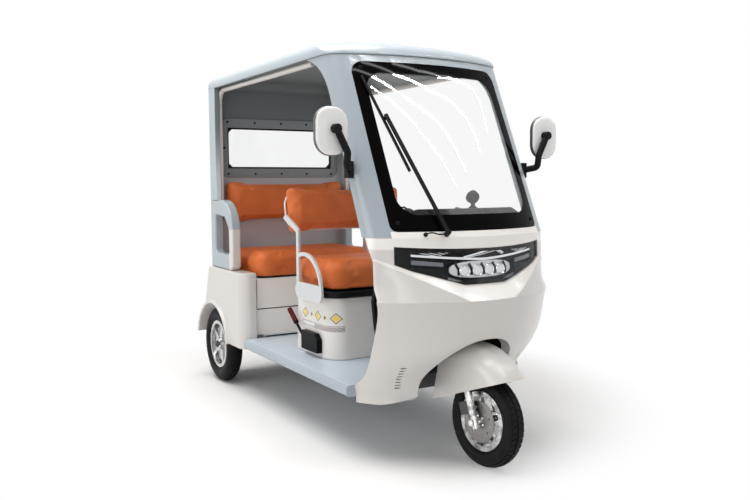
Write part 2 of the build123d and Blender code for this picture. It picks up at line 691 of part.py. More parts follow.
with BuildPart() as headlamp_housing:
    extrude(lamp_outline(), amount=800)
    lamp_band(sill_back_x - 20, tray_inset, Mode.INTERSECT)
    split(bisect_by=Plane.YZ.offset(lamp_back_x), keep=Keep.TOP)
    with BuildSketch(Plane(origin=(lamp_back_x + 12, 0, 0), x_dir=(0, 1, 0), z_dir=(1, 0, 0))):
        with Locations((0, 0.5 * (lamp_shoulder_z + lamp_top_z) - 8)):
            Rectangle(2 * lamp_shoulder_y, lamp_top_z - lamp_shoulder_z - 36)
        with Locations((0, 0.5 * (lamp_shoulder_z + lamp_bottom_z) + 14)):
            Rectangle(3.4 * lamp_bottom_y, lamp_shoulder_z - lamp_bottom_z)
    extrude(amount=300, mode=Mode.SUBTRACT)
    with BuildSketch(Plane(origin=(lamp_back_x + 6, 0, 0), x_dir=(0, 1, 0), z_dir=(1, 0, 0))):
        with Locations((0, 0.5 * (lamp_bottom_z + lamp_shoulder_z) + 16)):
            with GridLocations(projector_pitch, 1, projector_count, 1):
                Circle(projector_radius)
    extrude(amount=100)
headlamp_housing.part.label = "headlamp_housing"
export_step(headlamp_housing.part, "parts/headlamp_housing.step")

# Windscreen frame: raked pillars and header round the screen, cut by the door opening
bend_end_x = rail_end_x + pillar_bend_radius * cos(radians(pillar_lean))
bend_end_z = roof_z + 2 - pillar_bend_radius * (1 - sin(radians(pillar_lean)))
bend_mid = radians(45 + pillar_lean / 2)
with BuildPart() as windscreen_frame:
    screen_body(frame_back_x, 0)
    screen_body(frame_back_x - 1, frame_wall, Mode.SUBTRACT)
    with BuildSketch(Plane.XZ.offset(-cab_half_width - 20)):
        with BuildLine():
            Line((frame_back_x - 100, roof_z + 2), (rail_end_x, roof_z + 2))
            ThreePointArc((rail_end_x, roof_z + 2),
                          (rail_end_x + pillar_bend_radius * cos(bend_mid),
                           roof_z + 2 - pillar_bend_radius * (1 - sin(bend_mid))),
                          (bend_end_x, bend_end_z))
            Polyline((bend_end_x, bend_end_z), (pillar_foot_x, waist_z - 10),
                     (frame_back_x - 100, waist_z - 10), (frame_back_x - 100, roof_z + 2))
        make_face()
    extrude(amount=2 * cab_half_width + 40, mode=Mode.SUBTRACT)
    extrude(screen_outline(-glazing_gap), amount=900, mode=Mode.SUBTRACT)
windscreen_frame.part.label = "windscreen_frame"
export_step(windscreen_frame.part, "parts/windscreen_frame.step")

with BuildPart() as windscreen:
    extrude(screen_outline(), amount=900)
    for inset, mode in ((1.5, Mode.INTERSECT), (1.5 + screen_thickness, Mode.SUBTRACT)):
        screen_body(frame_back_x - 20, inset, mode)
windscreen.part.label = "windscreen"
export_step(windscreen.part, "parts/windscreen.step")


def roof_outline(level, inset=0.0, sink=0.0):
    """Plan outline of the roof at one height, with rounded rear corners."""
    plan = Level(level.z - sink, rear_axle_x + level.front, level.half_width, level.bow, level.corner)
    with BuildSketch(Plane.XY.offset(plan.z)) as outline:
        add(nose_outline(plan, rear_axle_x + level.back + inset, inset).moved(Location((0, 0, -plan.z))))
        fillet(outline.vertices().sort_by(Axis.X)[:2], rear_corner_radius - inset)
    return outline.sketch


roof_hollow = [(roof_levels[0], 1.0)] + [(level, 12.0) for level in roof_levels[1:-1]]
with BuildPart() as roof:
    loft([roof_outline(level) for level in roof_levels])
    loft([roof_outline(level, roof_wall, sink) for level, sink in roof_hollow], mode=Mode.SUBTRACT)
roof.part.label = "roof"
export_step(roof.part, "parts/roof.step")

# Floor pan: flat platform with feet wells beside the front wheel, and the deck between the rear wheels
wheel_sweep_radius = 300.0
sweep_x = front_axle_x - 63.0
foot_well_x = rear_axle_x + 1790.0
deck_back_x = tail_back_x + tail_wall + running_gap
with BuildPart() as nose_room:
    nose_body(sill_back_x, fairing_wall + running_gap)
with BuildPart() as neck_room:
    with BuildSketch(Plane(origin=neck_start, z_dir=neck_end - neck_start)):
        RectangleRounded(neck_width + 1, neck_width + 1, 12.5)
    extrude(amount=(neck_end - neck_start).length)
with BuildPart() as foot_wells:
    with Locations((0.5 * (floor_front_x + foot_well_x), 0, floor_z - floor_thickness / 2)):
        Box(foot_well_x - floor_front_x, 2 * floor_half_width, floor_thickness)
    add(nose_room.part, mode=Mode.INTERSECT)
    with Locations((sweep_x, 0, floor_z)):
        Cylinder(wheel_sweep_radius, 200, mode=Mode.SUBTRACT)

with BuildPart() as floor_pan:
    with BuildSketch(Plane.XY.offset(floor_z - floor_thickness)):
        with Locations((0.5 * (fender_front_x + floor_front_x), 0)):
            Rectangle(floor_front_x - fender_front_x, 2 * floor_half_width)
    extrude(amount=floor_thickness)
    fillet(floor_pan.edges().filter_by(Axis.X), 18)
    with BuildSketch(Plane.XY.offset(rear_deck_z - 30)):
        with Locations((0.5 * (fender_front_x + deck_back_x), 0)):
            Rectangle(fender_front_x - deck_back_x, 2 * (well_inner_y - 14))
    extrude(amount=30)
    add(foot_wells.part)
    add(neck_room.part, mode=Mode.SUBTRACT)
floor_pan.part.label = "floor_pan"
export_step(floor_pan.part, "parts/floor_pan.step")

# Leg shield: a sloped centre over the wheel, cheeks beside it and a bulkhead behind each foot well
tunnel_half_width = 262.0
shield_wall = 12.0
shield_top_x = rear_axle_x + 1712.0
with BuildPart() as leg_shield:
    with BuildSketch(Plane.XZ.offset(-tunnel_half_width)):
        with BuildLine():
            Polyline((floor_front_x - shield_wall, floor_z), (floor_front_x, floor_z),
                     (shield_top_x + shield_wall, waist_z), (shield_top_x, waist_z), close=True)
        make_face()
    extrude(amount=2 * tunnel_half_width)
    for side in (-1, 1):
        with BuildSketch(Plane.XZ.offset(-side * (tunnel_half_width - shield_wall / 2) - shield_wall / 2)):
            with BuildLine():
                Polyline((floor_front_x - shield_wall, floor_z), (foot_well_x, floor_z),
                         (foot_well_x, waist_z), (shield_top_x, waist_z), close=True)
            make_face()
        extrude(amount=shield_wall)
        with Locations((foot_well_x - shield_wall / 2, side * (tunnel_half_width - shield_wall + 100),
                        0.5 * (floor_z + waist_z))):
            Box(shield_wall, 200, waist_z - floor_z)
    add(nose_room.part, mode=Mode.INTERSECT)
    add(neck_room.part, mode=Mode.SUBTRACT)
    with BuildSketch(head_plane.offset(crown_height)):
        Circle(stem_radius + 22)
    extrude(amount=bar_height - crown_height, mode=Mode.SUBTRACT)
leg_shield.part.label = "leg_shield"
export_step(leg_shield.part, "parts/leg_shield.step")

# Dashboard: a shelf behind the screen that rises towards the glass
with BuildPart() as dashboard:
    screen_body(frame_back_x, frame_wall + running_gap)
    with BuildSketch(Plane.XZ.offset(-cab_half_width)):
        with BuildLine():
            Polyline((rear_axle_x + 1716, waist_z + running_gap), (rear_axle_x + 1950, waist_z + running_gap),
                     (rear_axle_x + 1950, 1052), (rear_axle_x + 1802, 1052), (rear_axle_x + 1780, 992),
                     (rear_axle_x + 1722, 978), close=True)
        make_face()
    extrude(amount=2 * cab_half_width, mode=Mode.INTERSECT)
dashboard.part.label = "dashboard"
export_step(dashboard.part, "parts/dashboard.step")

# Rear wall with rounded rear corners, the rear pillars and the window opening
guard_top_z = 1064.0
guard_back_x = rear_axle_x - 13.0
window_half_width = cab_half_width - 87.0
window_bottom_z = 1212.0
window_top_z = 1524.0
window_corner = 40.0
window_middle_z = 0.5 * (window_bottom_z + window_top_z)
rear_wall_thickness = 28.0
with BuildPart() as rear_wall:
    with BuildSketch(Plane.XY.offset(fender_top_z + running_gap)):
        with Locations((rear_wall_x + rear_pillar_depth / 2, 0)):
            wall_plan = Rectangle(rear_pillar_depth, 2 * cab_half_width)
        fillet(wall_plan.vertices().group_by(Axis.X)[0], rear_corner_radius)
        with Locations((rear_wall_x + rear_wall_thickness + rear_pillar_depth / 2, 0)):
            Rectangle(rear_pillar_depth, 2 * (cab_half_width - rear_wall_thickness), mode=Mode.SUBTRACT)
    extrude(amount=roof_z - fender_top_z - running_gap)
    with BuildSketch(Plane.XZ.offset(-cab_half_width - 1)):
        with Locations((guard_back_x + 100 - running_gap, guard_top_z - 200 + running_gap)):
            Rectangle(200, 400)
    extrude(amount=2 * cab_half_width + 2, mode=Mode.SUBTRACT)
    with BuildSketch(Plane.YZ.offset(rear_wall_x - 1)):
        with Locations((0, window_middle_z)):
            RectangleRounded(2 * window_half_width, window_top_z - window_bottom_z, window_corner)
    extrude(amount=rear_wall_thickness + 2, mode=Mode.SUBTRACT)
rear_wall.part.label = "rear_wall"
export_step(rear_wall.part, "parts/rear_wall.step")

# Rear window: a frame clamped round the opening and a pane with cut corners
window_rim = 26.0
pane_half_width = window_half_width - window_rim
pane_half_height = (window_top_z - window_bottom_z) / 2 - 36
with BuildPart() as rear_window_frame:
    with BuildSketch(Plane.YZ.offset(rear_wall_x + 4)):
        with Locations((0, window_middle_z)):
            RectangleRounded(2 * (window_half_width - glazing_gap), window_top_z - window_bottom_z - 1, 39)
            Rectangle(2 * pane_half_width, 2 * pane_half_height, mode=Mode.SUBTRACT)
    extrude(amount=rear_wall_thickness - 2)
    with BuildSketch(Plane.YZ.offset(rear_wall_x + rear_wall_thickness + running_gap)):
        with Locations((0, window_middle_z)):
            RectangleRounded(2 * window_half_width + 36, window_top_z - window_bottom_z + 36, 50)
            Rectangle(2 * pane_half_width, 2 * pane_half_height, mode=Mode.SUBTRACT)
    extrude(amount=6)
rear_window_frame.part.label = "rear_window_frame"
export_step(rear_window_frame.part, "parts/rear_window_frame.step")

with BuildPart() as rear_window:
    with BuildSketch(Plane.YZ.offset(rear_wall_x + 14)):
        with Locations((0, window_middle_z)):
            pane = Rectangle(2 * (pane_half_width - glazing_gap), 2 * (pane_half_height - glazing_gap))
        chamfer(pane.vertices(), 24)
    extrude(amount=6)
rear_window.part.label = "rear_window"
export_step(rear_window.part, "parts/rear_window.step")

# Cabin tubes: a hoop along each rear pillar and roof rail
tube_radius = 13.0
tube_y = cab_half_width - rear_wall_thickness - tube_radius - running_gap
tube_low = guard_top_z + running_gap
tube_x = rear_axle_x + 30
tube_high = roof_z - tube_radius - running_gap
with BuildPart() as cabin_tubes:
    for side in (-1, 1):
        with BuildLine() as tube_line:
            FilletPolyline((tube_x, side * tube_y, tube_low), (tube_x, side * tube_y, tube_high),
                           (frame_back_x - 4, side * tube_y, tube_high), radius=70)
        with BuildSketch(Plane(origin=tube_line.line @ 0, z_dir=tube_line.line % 0)):
            Circle(tube_radius)
        sweep(path=tube_line.line)
cabin_tubes.part.label = "cabin_tubes"
export_step(cabin_tubes.part, "parts/cabin_tubes.step")

# Side guards: armrest loops between the rear pillar and the fender
guard_thickness = 52.0
guard_front_x = rear_axle_x + 292.0
for name, side in (("left", 1), ("right", -1)):
    with BuildPart() as side_guard:
        guard_y = side * (cab_half_width - guard_thickness / 2)
        with BuildSketch(Plane.XZ.offset(-guard_y - guard_thickness / 2)):
            with BuildLine():
                Line((guard_back_x, fender_top_z + running_gap), (guard_back_x, guard_top_z))
                Line((guard_back_x, guard_top_z), (guard_front_x - 205, guard_top_z))
                ThreePointArc((guard_front_x - 205, guard_top_z), (guard_front_x - 52, 1016),
                              (guard_front_x, 905))
                Polyline((guard_front_x, 905), (guard_front_x, 700),
                         (guard_front_x - 24, fender_top_z + running_gap),
                         (guard_back_x, fender_top_z + running_gap))
            make_face()
            with BuildLine():
                FilletPolyline((guard_back_x + 36, 984), (guard_front_x - 118, 971),
                               (guard_front_x - 52, 905), (guard_front_x - 52, 762),
                               (guard_back_x + 36, 762), close=True, radius=24)
            make_face(mode=Mode.SUBTRACT)
        extrude(amount=guard_thickness)
    side_guard.part.label = f"side_guard_{name}"
    export_step(side_guard.part, f"parts/side_guard_{name}.step")

# Rear fenders: hollow quarter panels round the wheel wells, with a raised arch lip
fender_back_x = rear_axle_x - 62.0
fender_flare = well_radius + 18
fender_low_z = 262.0
fender_corner = 62.0
for name, side in (("left", 1), ("right", -1)):
    with BuildPart() as rear_fender:
        with BuildSketch(Plane.XZ.offset(-side * fender_inner_y)):
            with Locations((rear_axle_x, rear_tyre_radius)):
                Circle(fender_flare)
            with BuildLine():
                Polyline((fender_back_x, fender_top_z), (fender_front_x, fender_top_z),
                         (fender_front_x, fender_low_z), (rear_axle_x, fender_low_z),
                         (rear_axle_x - 140, rear_tyre_radius + 215), close=True)
            make_face()
            with Locations((rear_axle_x, rear_tyre_radius)):
                Circle(well_radius, mode=Mode.SUBTRACT)
            with Locations((rear_axle_x, fender_low_z - 200)):
                Rectangle(1200, 400, mode=Mode.SUBTRACT)
        extrude(amount=-side * (fender_face_y - fender_inner_y))
        front_uprights = rear_fender.edges().filter_by(Axis.Z).sort_by(Axis.X)[-2:].sort_by(Axis.Y)
        fillet(front_uprights[-1 if side > 0 else 0], fender_corner)
        with BuildSketch(Plane.XZ.offset(-side * fender_face_y)):
            with Locations((rear_axle_x, rear_tyre_radius)):
                Circle(fender_flare)
                Circle(well_radius, mode=Mode.SUBTRACT)
            with Locations((rear_axle_x, fender_low_z - 200)):
                Rectangle(1200, 400, mode=Mode.SUBTRACT)
        extrude(amount=-side * fender_lip)
    rear_fender.part.label = f"rear_fender_{name}"
    export_step(rear_fender.part, f"parts/rear_fender_{name}.step")

# Tail panel between the fenders, with the lamps let into it
with BuildPart() as tail_panel:
    with BuildSketch(Plane.XZ.offset(-fender_inner_y + running_gap)):
        with BuildLine():
            Polyline((rear_wall_x, fender_top_z), (rear_axle_x - 130, 470), (tail_back_x, 410),
                     (tail_back_x, 275), (tail_back_x + tail_wall, 275), (tail_back_x + tail_wall, 418),
                     (rear_axle_x - 118, 480), (rear_wall_x + tail_wall, fender_top_z), close=True)
        make_face()
    extrude(amount=2 * (fender_inner_y - running_gap))
    for side in (-1, 1):
        with BuildSketch(Plane.XZ.offset(-side * (well_inner_y - 6))):
            with Locations((rear_axle_x, rear_tyre_radius)):
                Circle(well_radius)
        extrude(amount=-side * 60, mode=Mode.SUBTRACT)
    with BuildSketch(Plane.YZ.offset(tail_back_x - 1)):
        with Locations((-tail_lamp_y, tail_lamp_z), (tail_lamp_y, tail_lamp_z)):
            RectangleRounded(90, 70, 14)
    extrude(amount=tail_wall + 2, mode=Mode.SUBTRACT)
tail_panel.part.label = "tail_panel"
export_step(tail_panel.part, "parts/tail_panel.step")

with BuildPart() as tail_lamps:
    with BuildSketch(Plane.YZ.offset(tail_back_x - 6)):
        with Locations((-tail_lamp_y, tail_lamp_z), (tail_lamp_y, tail_lamp_z)):
            RectangleRounded(90 - 1, 70 - 1, 13.5)
    extrude(amount=tail_wall + 4)
tail_lamps.part.label = "tail_lamps"
export_step(tail_lamps.part, "parts/tail_lamps.step")

# Bench base with its wheel tubs, and the battery inside it
bench_back_x = rear_wall_x + rear_wall_thickness
with BuildPart() as bench_base:
    with BuildSketch(Plane.XY.offset(rear_deck_z)):
        with Locations((0.5 * (bench_back_x + bench_front_x), 0)):
            Rectangle(bench_front_x - bench_back_x, 2 * bench_half_width)
    extrude(amount=bench_top_z - rear_deck_z)
    with BuildSketch(Plane.XY.offset(rear_deck_z)):
        with Locations((0.5 * (bench_back_x + bench_front_x), 0)):
            Rectangle(bench_front_x - bench_back_x - 2 * panel_wall, 2 * (bench_half_width - panel_wall))
    extrude(amount=bench_top_z - rear_deck_z - panel_wall, mode=Mode.SUBTRACT)
    for side in (-1, 1):
        with BuildSketch(Plane.XZ.offset(-side * (well_inner_y - panel_wall))):
            with Locations((rear_axle_x, rear_tyre_radius)):
                Circle(well_radius + panel_wall)
            with Locations((rear_axle_x, rear_deck_z - 200)):
                Rectangle(1200, 400, mode=Mode.SUBTRACT)
            with Locations((bench_back_x - 200, 500)):
                Rectangle(400, 600, mode=Mode.SUBTRACT)
        extrude(amount=-side * (bench_half_width - well_inner_y + panel_wall))
        with BuildSketch(Plane.XZ.offset(-side * well_inner_y)):
            with Locations((rear_axle_x, rear_tyre_radius)):
                Circle(well_radius)
        extrude(amount=-side * (bench_half_width - well_inner_y + 1), mode=Mode.SUBTRACT)
    with Locations((bench_front_x, 0, bench_top_z - 168)):
        Box(6, 2 * bench_half_width, 4, mode=Mode.SUBTRACT)
bench_base.part.label = "bench_base"
export_step(bench_base.part, "parts/bench_base.step")

with BuildPart() as battery_pack:
    with Locations((rear_axle_x + 210, 0, rear_deck_z + 95)):
        Box(330, 460, 190)
battery_pack.part.label = "battery_pack"
export_step(battery_pack.part, "parts/battery_pack.step")

# Seats as plain closed solids
seat_top_z = 650.0
SeatPad = namedtuple("SeatPad", "name back front half_width low high corner round_over")
pads = [
    SeatPad("bench_cushion", rear_axle_x - 20, rear_axle_x + 452, bench_half_width - 4,
            bench_top_z + cushion_gap, 776.0, 70.0, 40.0),
    SeatPad("bench_backrest", bench_back_x + cushion_gap, rear_axle_x + 62, cab_half_width - 67,
            930.0, 1176.0, 42.0, 34.0),
    SeatPad("driver_cushion", rear_axle_x + 775, rear_axle_x + 1212, driver_half_width - 6,
            seat_top_z + cushion_gap, 786.0, 90.0, 44.0),
]
for pad in pads:
    with BuildPart() as cushion:
        with Locations((0.5 * (pad.back + pad.front), 0, 0.5 * (pad.low + pad.high))):
            Box(pad.front - pad.back, 2 * pad.half_width, pad.high - pad.low)
        fillet(cushion.edges().filter_by(Axis.Z), pad.corner)
        fillet(cushion.faces().sort_by(Axis.Z)[-1].edges(), pad.round_over)
    cushion.part.label = pad.name
    export_step(cushion.part, f"parts/{pad.name}.step")

backrest_tilt = 9.0
backrest_lean = radians(backrest_tilt)
backrest_plane = Plane(origin=(rear_axle_x + 758, 0, 1022), x_dir=(cos(backrest_lean), 0, sin(backrest_lean)),
                       z_dir=(-sin(backrest_lean), 0, cos(backrest_lean)))
with BuildPart() as driver_backrest:
    with BuildSketch(backrest_plane.offset(-122)):
        RectangleRounded(84, 2 * driver_half_width, 34)
    extrude(amount=244)
    fillet(driver_backrest.faces().sort_by(Axis.Z)[-1].edges(), 28)
    fillet(driver_backrest.faces().sort_by(Axis.Z)[0].edges(), 28)
driver_backrest.part.label = "driver_backrest"
export_step(driver_backrest.part, "parts/driver_backrest.step")

# Pedestal under the driver's seat and the seat pan on it
with BuildPart() as seat_pedestal:
    with BuildSketch(Plane.XY.offset(floor_z)):
        with Locations((0.5 * (pedestal_back_x + pedestal_front_x), 0)):
            RectangleRounded(pedestal_front_x - pedestal_back_x, 2 * pedestal_half_width, pedestal_corner)
    extrude(amount=pedestal_height, taper=1.5)
    offset(amount=-panel_wall, openings=seat_pedestal.faces().sort_by(Axis.Z)[0])
seat_pedestal.part.label = "seat_pedestal"
export_step(seat_pedestal.part, "parts/seat_pedestal.step")

pan_low = floor_z + pedestal_height
with BuildPart() as seat_pan:
    with BuildSketch(Plane.XY.offset(pan_low)):
        with Locations((0.5 * (pads[2].back + pads[2].front), 0)):
            RectangleRounded(pads[2].front - pads[2].back - 16, 2 * pads[2].half_width - 16,
                             pads[2].corner - 8)
    extrude(amount=seat_top_z - pan_low)
seat_pan.part.label = "seat_pan"
export_step(seat_pan.part, "parts/seat_pan.step")

# Backrest brackets: a strap and a curved brace on each side of the seat
bracket_y = driver_half_width + cushion_gap
bracket_thickness = 12.0
strap_x = rear_axle_x + 917.0
with BuildPart() as backrest_brackets:
    for side in (-1, 1):
        with BuildSketch(Plane.XZ.offset(-side * bracket_y)):
            with BuildLine():
                Polyline((strap_x - 13, 640), (strap_x + 13, 640), (strap_x + 13, 935),
                         (rear_axle_x + 776, 1002), (rear_axle_x + 754, 982), (strap_x - 13, 918), close=True)
            make_face()
            with BuildLine():
                ThreePointArc((strap_x, 812), (strap_x + 166, 800), (strap_x + 254, 650))
                Line((strap_x + 254, 650), (strap_x + 234, 650))
                ThreePointArc((strap_x + 234, 650), (strap_x + 152, 786), (strap_x, 792))
                Line((strap_x, 792), (strap_x, 812))
            make_face()
            with Locations((strap_x + 114, 637)):
                RectangleRounded(282, 82, 38)
        extrude(amount=-side * bracket_thickness)
        pan_side = pads[2].half_width - 8 + cushion_gap
        with Locations((rear_axle_x + 980, side * 0.5 * (bracket_y + pan_side), 632)):
            Box(240, bracket_y - pan_side, 22)
backrest_brackets.part.label = "backrest_brackets"
export_step(backrest_brackets.part, "parts/backrest_brackets.step")

# Mirrors: an oval shell on each side, its glass, and a bent arm on a foot at the pillar
mirror_x = rear_axle_x + 1655.0
mirror_y = cab_half_width + 98.0
mirror_z = 1362.0
mirror_half_width = 74.0
mirror_half_height = 97.0
mirror_depth = 24.0
mirror_edge = 7.0
mirror_corner = 66.0
glass_recess = 6.0
with BuildPart() as mirror_shells:
    with BuildSketch(Plane(origin=(mirror_x, 0, mirror_z), x_dir=(0, 1, 0), z_dir=(1, 0, 0))):
        with Locations((-mirror_y, 0), (mirror_y, 0)):
            RectangleRounded(2 * mirror_half_width, 2 * mirror_half_height, mirror_corner)
    extrude(amount=mirror_depth)
    fillet(mirror_shells.edges().group_by(Axis.X)[-1], 16)
    with BuildSketch(Plane(origin=(mirror_x, 0, mirror_z), x_dir=(0, 1, 0), z_dir=(1, 0, 0))):
        with Locations((-mirror_y, 0), (mirror_y, 0)):
            RectangleRounded(2 * (mirror_half_width - mirror_edge), 2 * (mirror_half_height - mirror_edge),
                             mirror_corner - mirror_edge)
    extrude(amount=glass_recess, mode=Mode.SUBTRACT)
mirror_shells.part.label = "mirror_shells"
export_step(mirror_shells.part, "parts/mirror_shells.step")

with BuildPart() as mirror_glasses:
    glass_x = mirror_x + glass_recess - running_gap
    with BuildSketch(Plane(origin=(glass_x, 0, mirror_z), x_dir=(0, 1, 0), z_dir=(-1, 0, 0))):
        with Locations((-mirror_y, 0), (mirror_y, 0)):
            RectangleRounded(2 * (mirror_half_width - mirror_edge - glazing_gap),
                             2 * (mirror_half_height - mirror_edge - glazing_gap),
                             mirror_corner - mirror_edge - glazing_gap)
    extrude(amount=3)
mirror_glasses.part.label = "mirror_glasses"
export_step(mirror_glasses.part, "parts/mirror_glasses.step")

arm_radius = 11.0
arm_x = mirror_x + mirror_depth + arm_radius + 6
foot_x = rear_axle_x + 1630.0
foot_y = waist.half_width + running_gap
foot_z = 1212.0
with BuildPart() as mirror_arms:
    for side in (-1, 1):
        with BuildLine() as arm_line:
            FilletPolyline((arm_x, side * (mirror_y - 8), mirror_z + 8),
                           (arm_x, side * (mirror_y - 56), mirror_z - 84),
                           (arm_x - 8, side * (mirror_y - 56), mirror_z - 136),
                           (foot_x, side * (foot_y + 9), foot_z), radius=20)
        with BuildSketch(Plane(origin=arm_line.line @ 0, z_dir=arm_line.line % 0)):
            Circle(arm_radius)
        sweep(path=arm_line.line)
        socket_foot = (mirror_x + mirror_depth + running_gap, side * (mirror_y - 8), mirror_z + 8)
        with BuildSketch(Plane(origin=socket_foot, x_dir=(0, 1, 0), z_dir=(1, 0, 0))):
            Circle(15)
        extrude(amount=arm_x - mirror_x - mirror_depth + arm_radius)
        with Locations((foot_x, side * (foot_y + 9), foot_z)):
            Box(34, 18, 62)
mirror_arms.part.label = "mirror_arms"
export_step(mirror_arms.part, "parts/mirror_arms.step")


def screen_point(y, z, lift):
    """Point at a height over the outside of the raked front, counted square to it."""
    rise = (z - waist.z) / (header.z - waist.z)
    bow = waist.nose_radius + rise * (header.nose_radius - waist.nose_radius)
    reach = sqrt(bow**2 - y**2)
    x = waist.nose + rise * (header.nose - waist.nose) - bow + reach
    slope_y = -y / reach
    slope_z = (header.nose - waist.nose + (bow / reach - 1) * (header.nose_radius - waist.nose_radius)) \
        / (header.z - waist.z)
    return Vector(x, y, z) + Vector(1, -slope_y, -slope_z).normalized() * lift


# Wiper: pivot on the sill, a tapering arm and the blade that rests on the screen
wiper_pivot_y = -172.0
wiper_pivot_z = 954.0
with BuildPart() as wiper:
    pivot_foot = screen_point(wiper_pivot_y, wiper_pivot_z, running_gap)
    pivot_top = screen_point(wiper_pivot_y, wiper_pivot_z, 30)
    with BuildSketch(Plane(origin=pivot_foot, z_dir=pivot_top - pivot_foot)):
        Circle(11)
    extrude(amount=30)
    for start, end, width, depth in (
            (screen_point(wiper_pivot_y, wiper_pivot_z, 23), screen_point(-292, 1428, 23), 15, 8),
            (screen_point(-252, 1200, 10), screen_point(-344, 1598, 10), 9, 11),
            (screen_point(-290, 1414, 10), screen_point(-292, 1420, 23), 12, 12)):
        across = (end - start).cross(pivot_top - pivot_foot)
        with BuildSketch(Plane(origin=start, x_dir=across, z_dir=end - start)):
            Rectangle(width, depth)
        extrude(amount=(end - start).length)
wiper.part.label = "wiper"
export_step(wiper.part, "parts/wiper.step")

# Parking brake: a box on the pedestal's right side with a lever and its grip
box_inner_y = -pedestal_half_width - running_gap
lever_y = box_inner_y - 14
lever_low = Vector(rear_axle_x + 940, lever_y, 384)
lever_high = Vector(rear_axle_x + 756, lever_y, 516)
with BuildPart() as parking_brake:
    with BuildSketch(Plane.XZ.offset(-box_inner_y)):
        with BuildLine():
            Polyline((rear_axle_x + 919, 346), (rear_axle_x + 1090, 346), (rear_axle_x + 1090, 410),
                     (rear_axle_x + 1060, 437), (rear_axle_x + 919, 437), close=True)
        make_face()
    extrude(amount=28)
    with BuildSketch(Plane(origin=lever_low, z_dir=lever_high - lever_low)):
        Circle(7)
    extrude(amount=(lever_high - lever_low).length)
    with BuildSketch(Plane(origin=lever_high, z_dir=lever_low - lever_high)):
        Circle(13)
    extrude(amount=98)
parking_brake.part.label = "parking_brake"
export_step(parking_brake.part, "parts/parking_brake.step")

# Brake pedal on a block on the floor
pedal_x = rear_axle_x + 1500.0
pedal_y = -170.0
with BuildPart() as brake_pedal:
    with Locations((pedal_x, pedal_y, floor_z + running_gap + 14)):
        Box(60, 46, 28)
    with BuildSketch(Plane.XZ.offset(-pedal_y - 8)):
        with BuildLine():
            Polyline((pedal_x - 10, floor_z + 20), (pedal_x + 12, floor_z + 20),
                     (pedal_x + 62, floor_z + 118), (pedal_x + 44, floor_z + 126), close=True)
        make_face()
    extrude(amount=16)
    pedal_pad = Plane(origin=(pedal_x + 44, pedal_y, floor_z + 126), z_dir=(-0.76, 0, 0.65))
    with BuildSketch(pedal_pad):
        RectangleRounded(56, 76, 10)
    extrude(amount=10)
brake_pedal.part.label = "brake_pedal"
export_step(brake_pedal.part, "parts/brake_pedal.step")
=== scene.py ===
import json
import math

import bmesh
import bpy
import numpy as np
from bpy.props import FloatProperty, FloatVectorProperty, IntProperty, PointerProperty
from mathutils import Matrix, Vector


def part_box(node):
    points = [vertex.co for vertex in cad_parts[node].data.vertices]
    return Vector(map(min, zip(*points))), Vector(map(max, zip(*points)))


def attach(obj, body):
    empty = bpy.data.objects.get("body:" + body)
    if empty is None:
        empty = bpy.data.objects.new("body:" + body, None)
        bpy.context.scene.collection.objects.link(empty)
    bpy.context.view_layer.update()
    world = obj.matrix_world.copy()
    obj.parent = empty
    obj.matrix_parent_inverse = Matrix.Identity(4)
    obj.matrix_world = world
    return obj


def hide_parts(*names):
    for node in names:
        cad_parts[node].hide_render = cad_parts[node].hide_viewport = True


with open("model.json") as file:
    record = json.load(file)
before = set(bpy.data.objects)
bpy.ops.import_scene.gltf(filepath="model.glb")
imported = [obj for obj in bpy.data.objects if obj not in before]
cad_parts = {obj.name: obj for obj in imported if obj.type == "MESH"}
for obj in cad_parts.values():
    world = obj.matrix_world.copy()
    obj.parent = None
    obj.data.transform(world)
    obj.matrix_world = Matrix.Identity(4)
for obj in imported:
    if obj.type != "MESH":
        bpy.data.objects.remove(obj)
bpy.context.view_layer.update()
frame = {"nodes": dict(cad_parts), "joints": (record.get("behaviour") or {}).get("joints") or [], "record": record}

bl_info = {
    "name": "Cab tricycle dresser",
    "version": (1, 0, 0),
    "blender": (4, 5, 0),
    "location": "View3D > Sidebar > Tricycle",
    "description": "Finishes, cushions, tread and trim for a three-wheeled passenger cab",
    "category": "Object",
}

NODES = frame["nodes"]
BODY_OF = {node: body for body, group in frame["record"]["behaviour"]["bodies"].items() for node in group}
JOINTS = {joint["name"]: joint for joint in frame["joints"]}
AXLE_X = JOINTS["rear_left_wheel_spin"]["pos_m"][0]
SMOOTH, WELD = 38.0, 2e-5
PICTURE_WIDTH, SENSOR_WIDTH = 750.0, 36.0


# Sizes and colours that a user would change


def colour_property(name, description, default):
    return FloatVectorProperty(name=name, description=description, subtype="COLOR", size=3, min=0, max=1,
                               default=default)


class PaintSettings(bpy.types.PropertyGroup):
    cream: colour_property("Cream", "Lower body panels", (0.615, 0.585, 0.555))
    blue: colour_property("Pale blue", "Roof, pillars and floor", (0.325, 0.382, 0.420))
    # Painted shade: this dark colour stands for the blue paint in shade on the inside of the roof and rear wall.
    lining: colour_property("Lining", "Inside of the roof and rear wall", (0.175, 0.20, 0.205))
    leather: colour_property("Leather", "Seat covers", (0.66, 0.150, 0.031))
    white: colour_property("White", "Mirror shells and seat piping", (0.80, 0.80, 0.79))
    black: colour_property("Black", "Plastic trim", (0.005, 0.005, 0.0055))


class WheelSettings(bpy.types.PropertyGroup):
    tread_count: IntProperty(name="Tread blocks", description="Blocks round a tyre in one row", default=46,
                             min=8)
    tread_depth: FloatProperty(name="Tread depth", description="Height of the tread blocks", default=0.0045,
                               unit="LENGTH")
    lathe_steps: IntProperty(name="Lathe steps", description="Steps round a tyre", default=120, min=24)


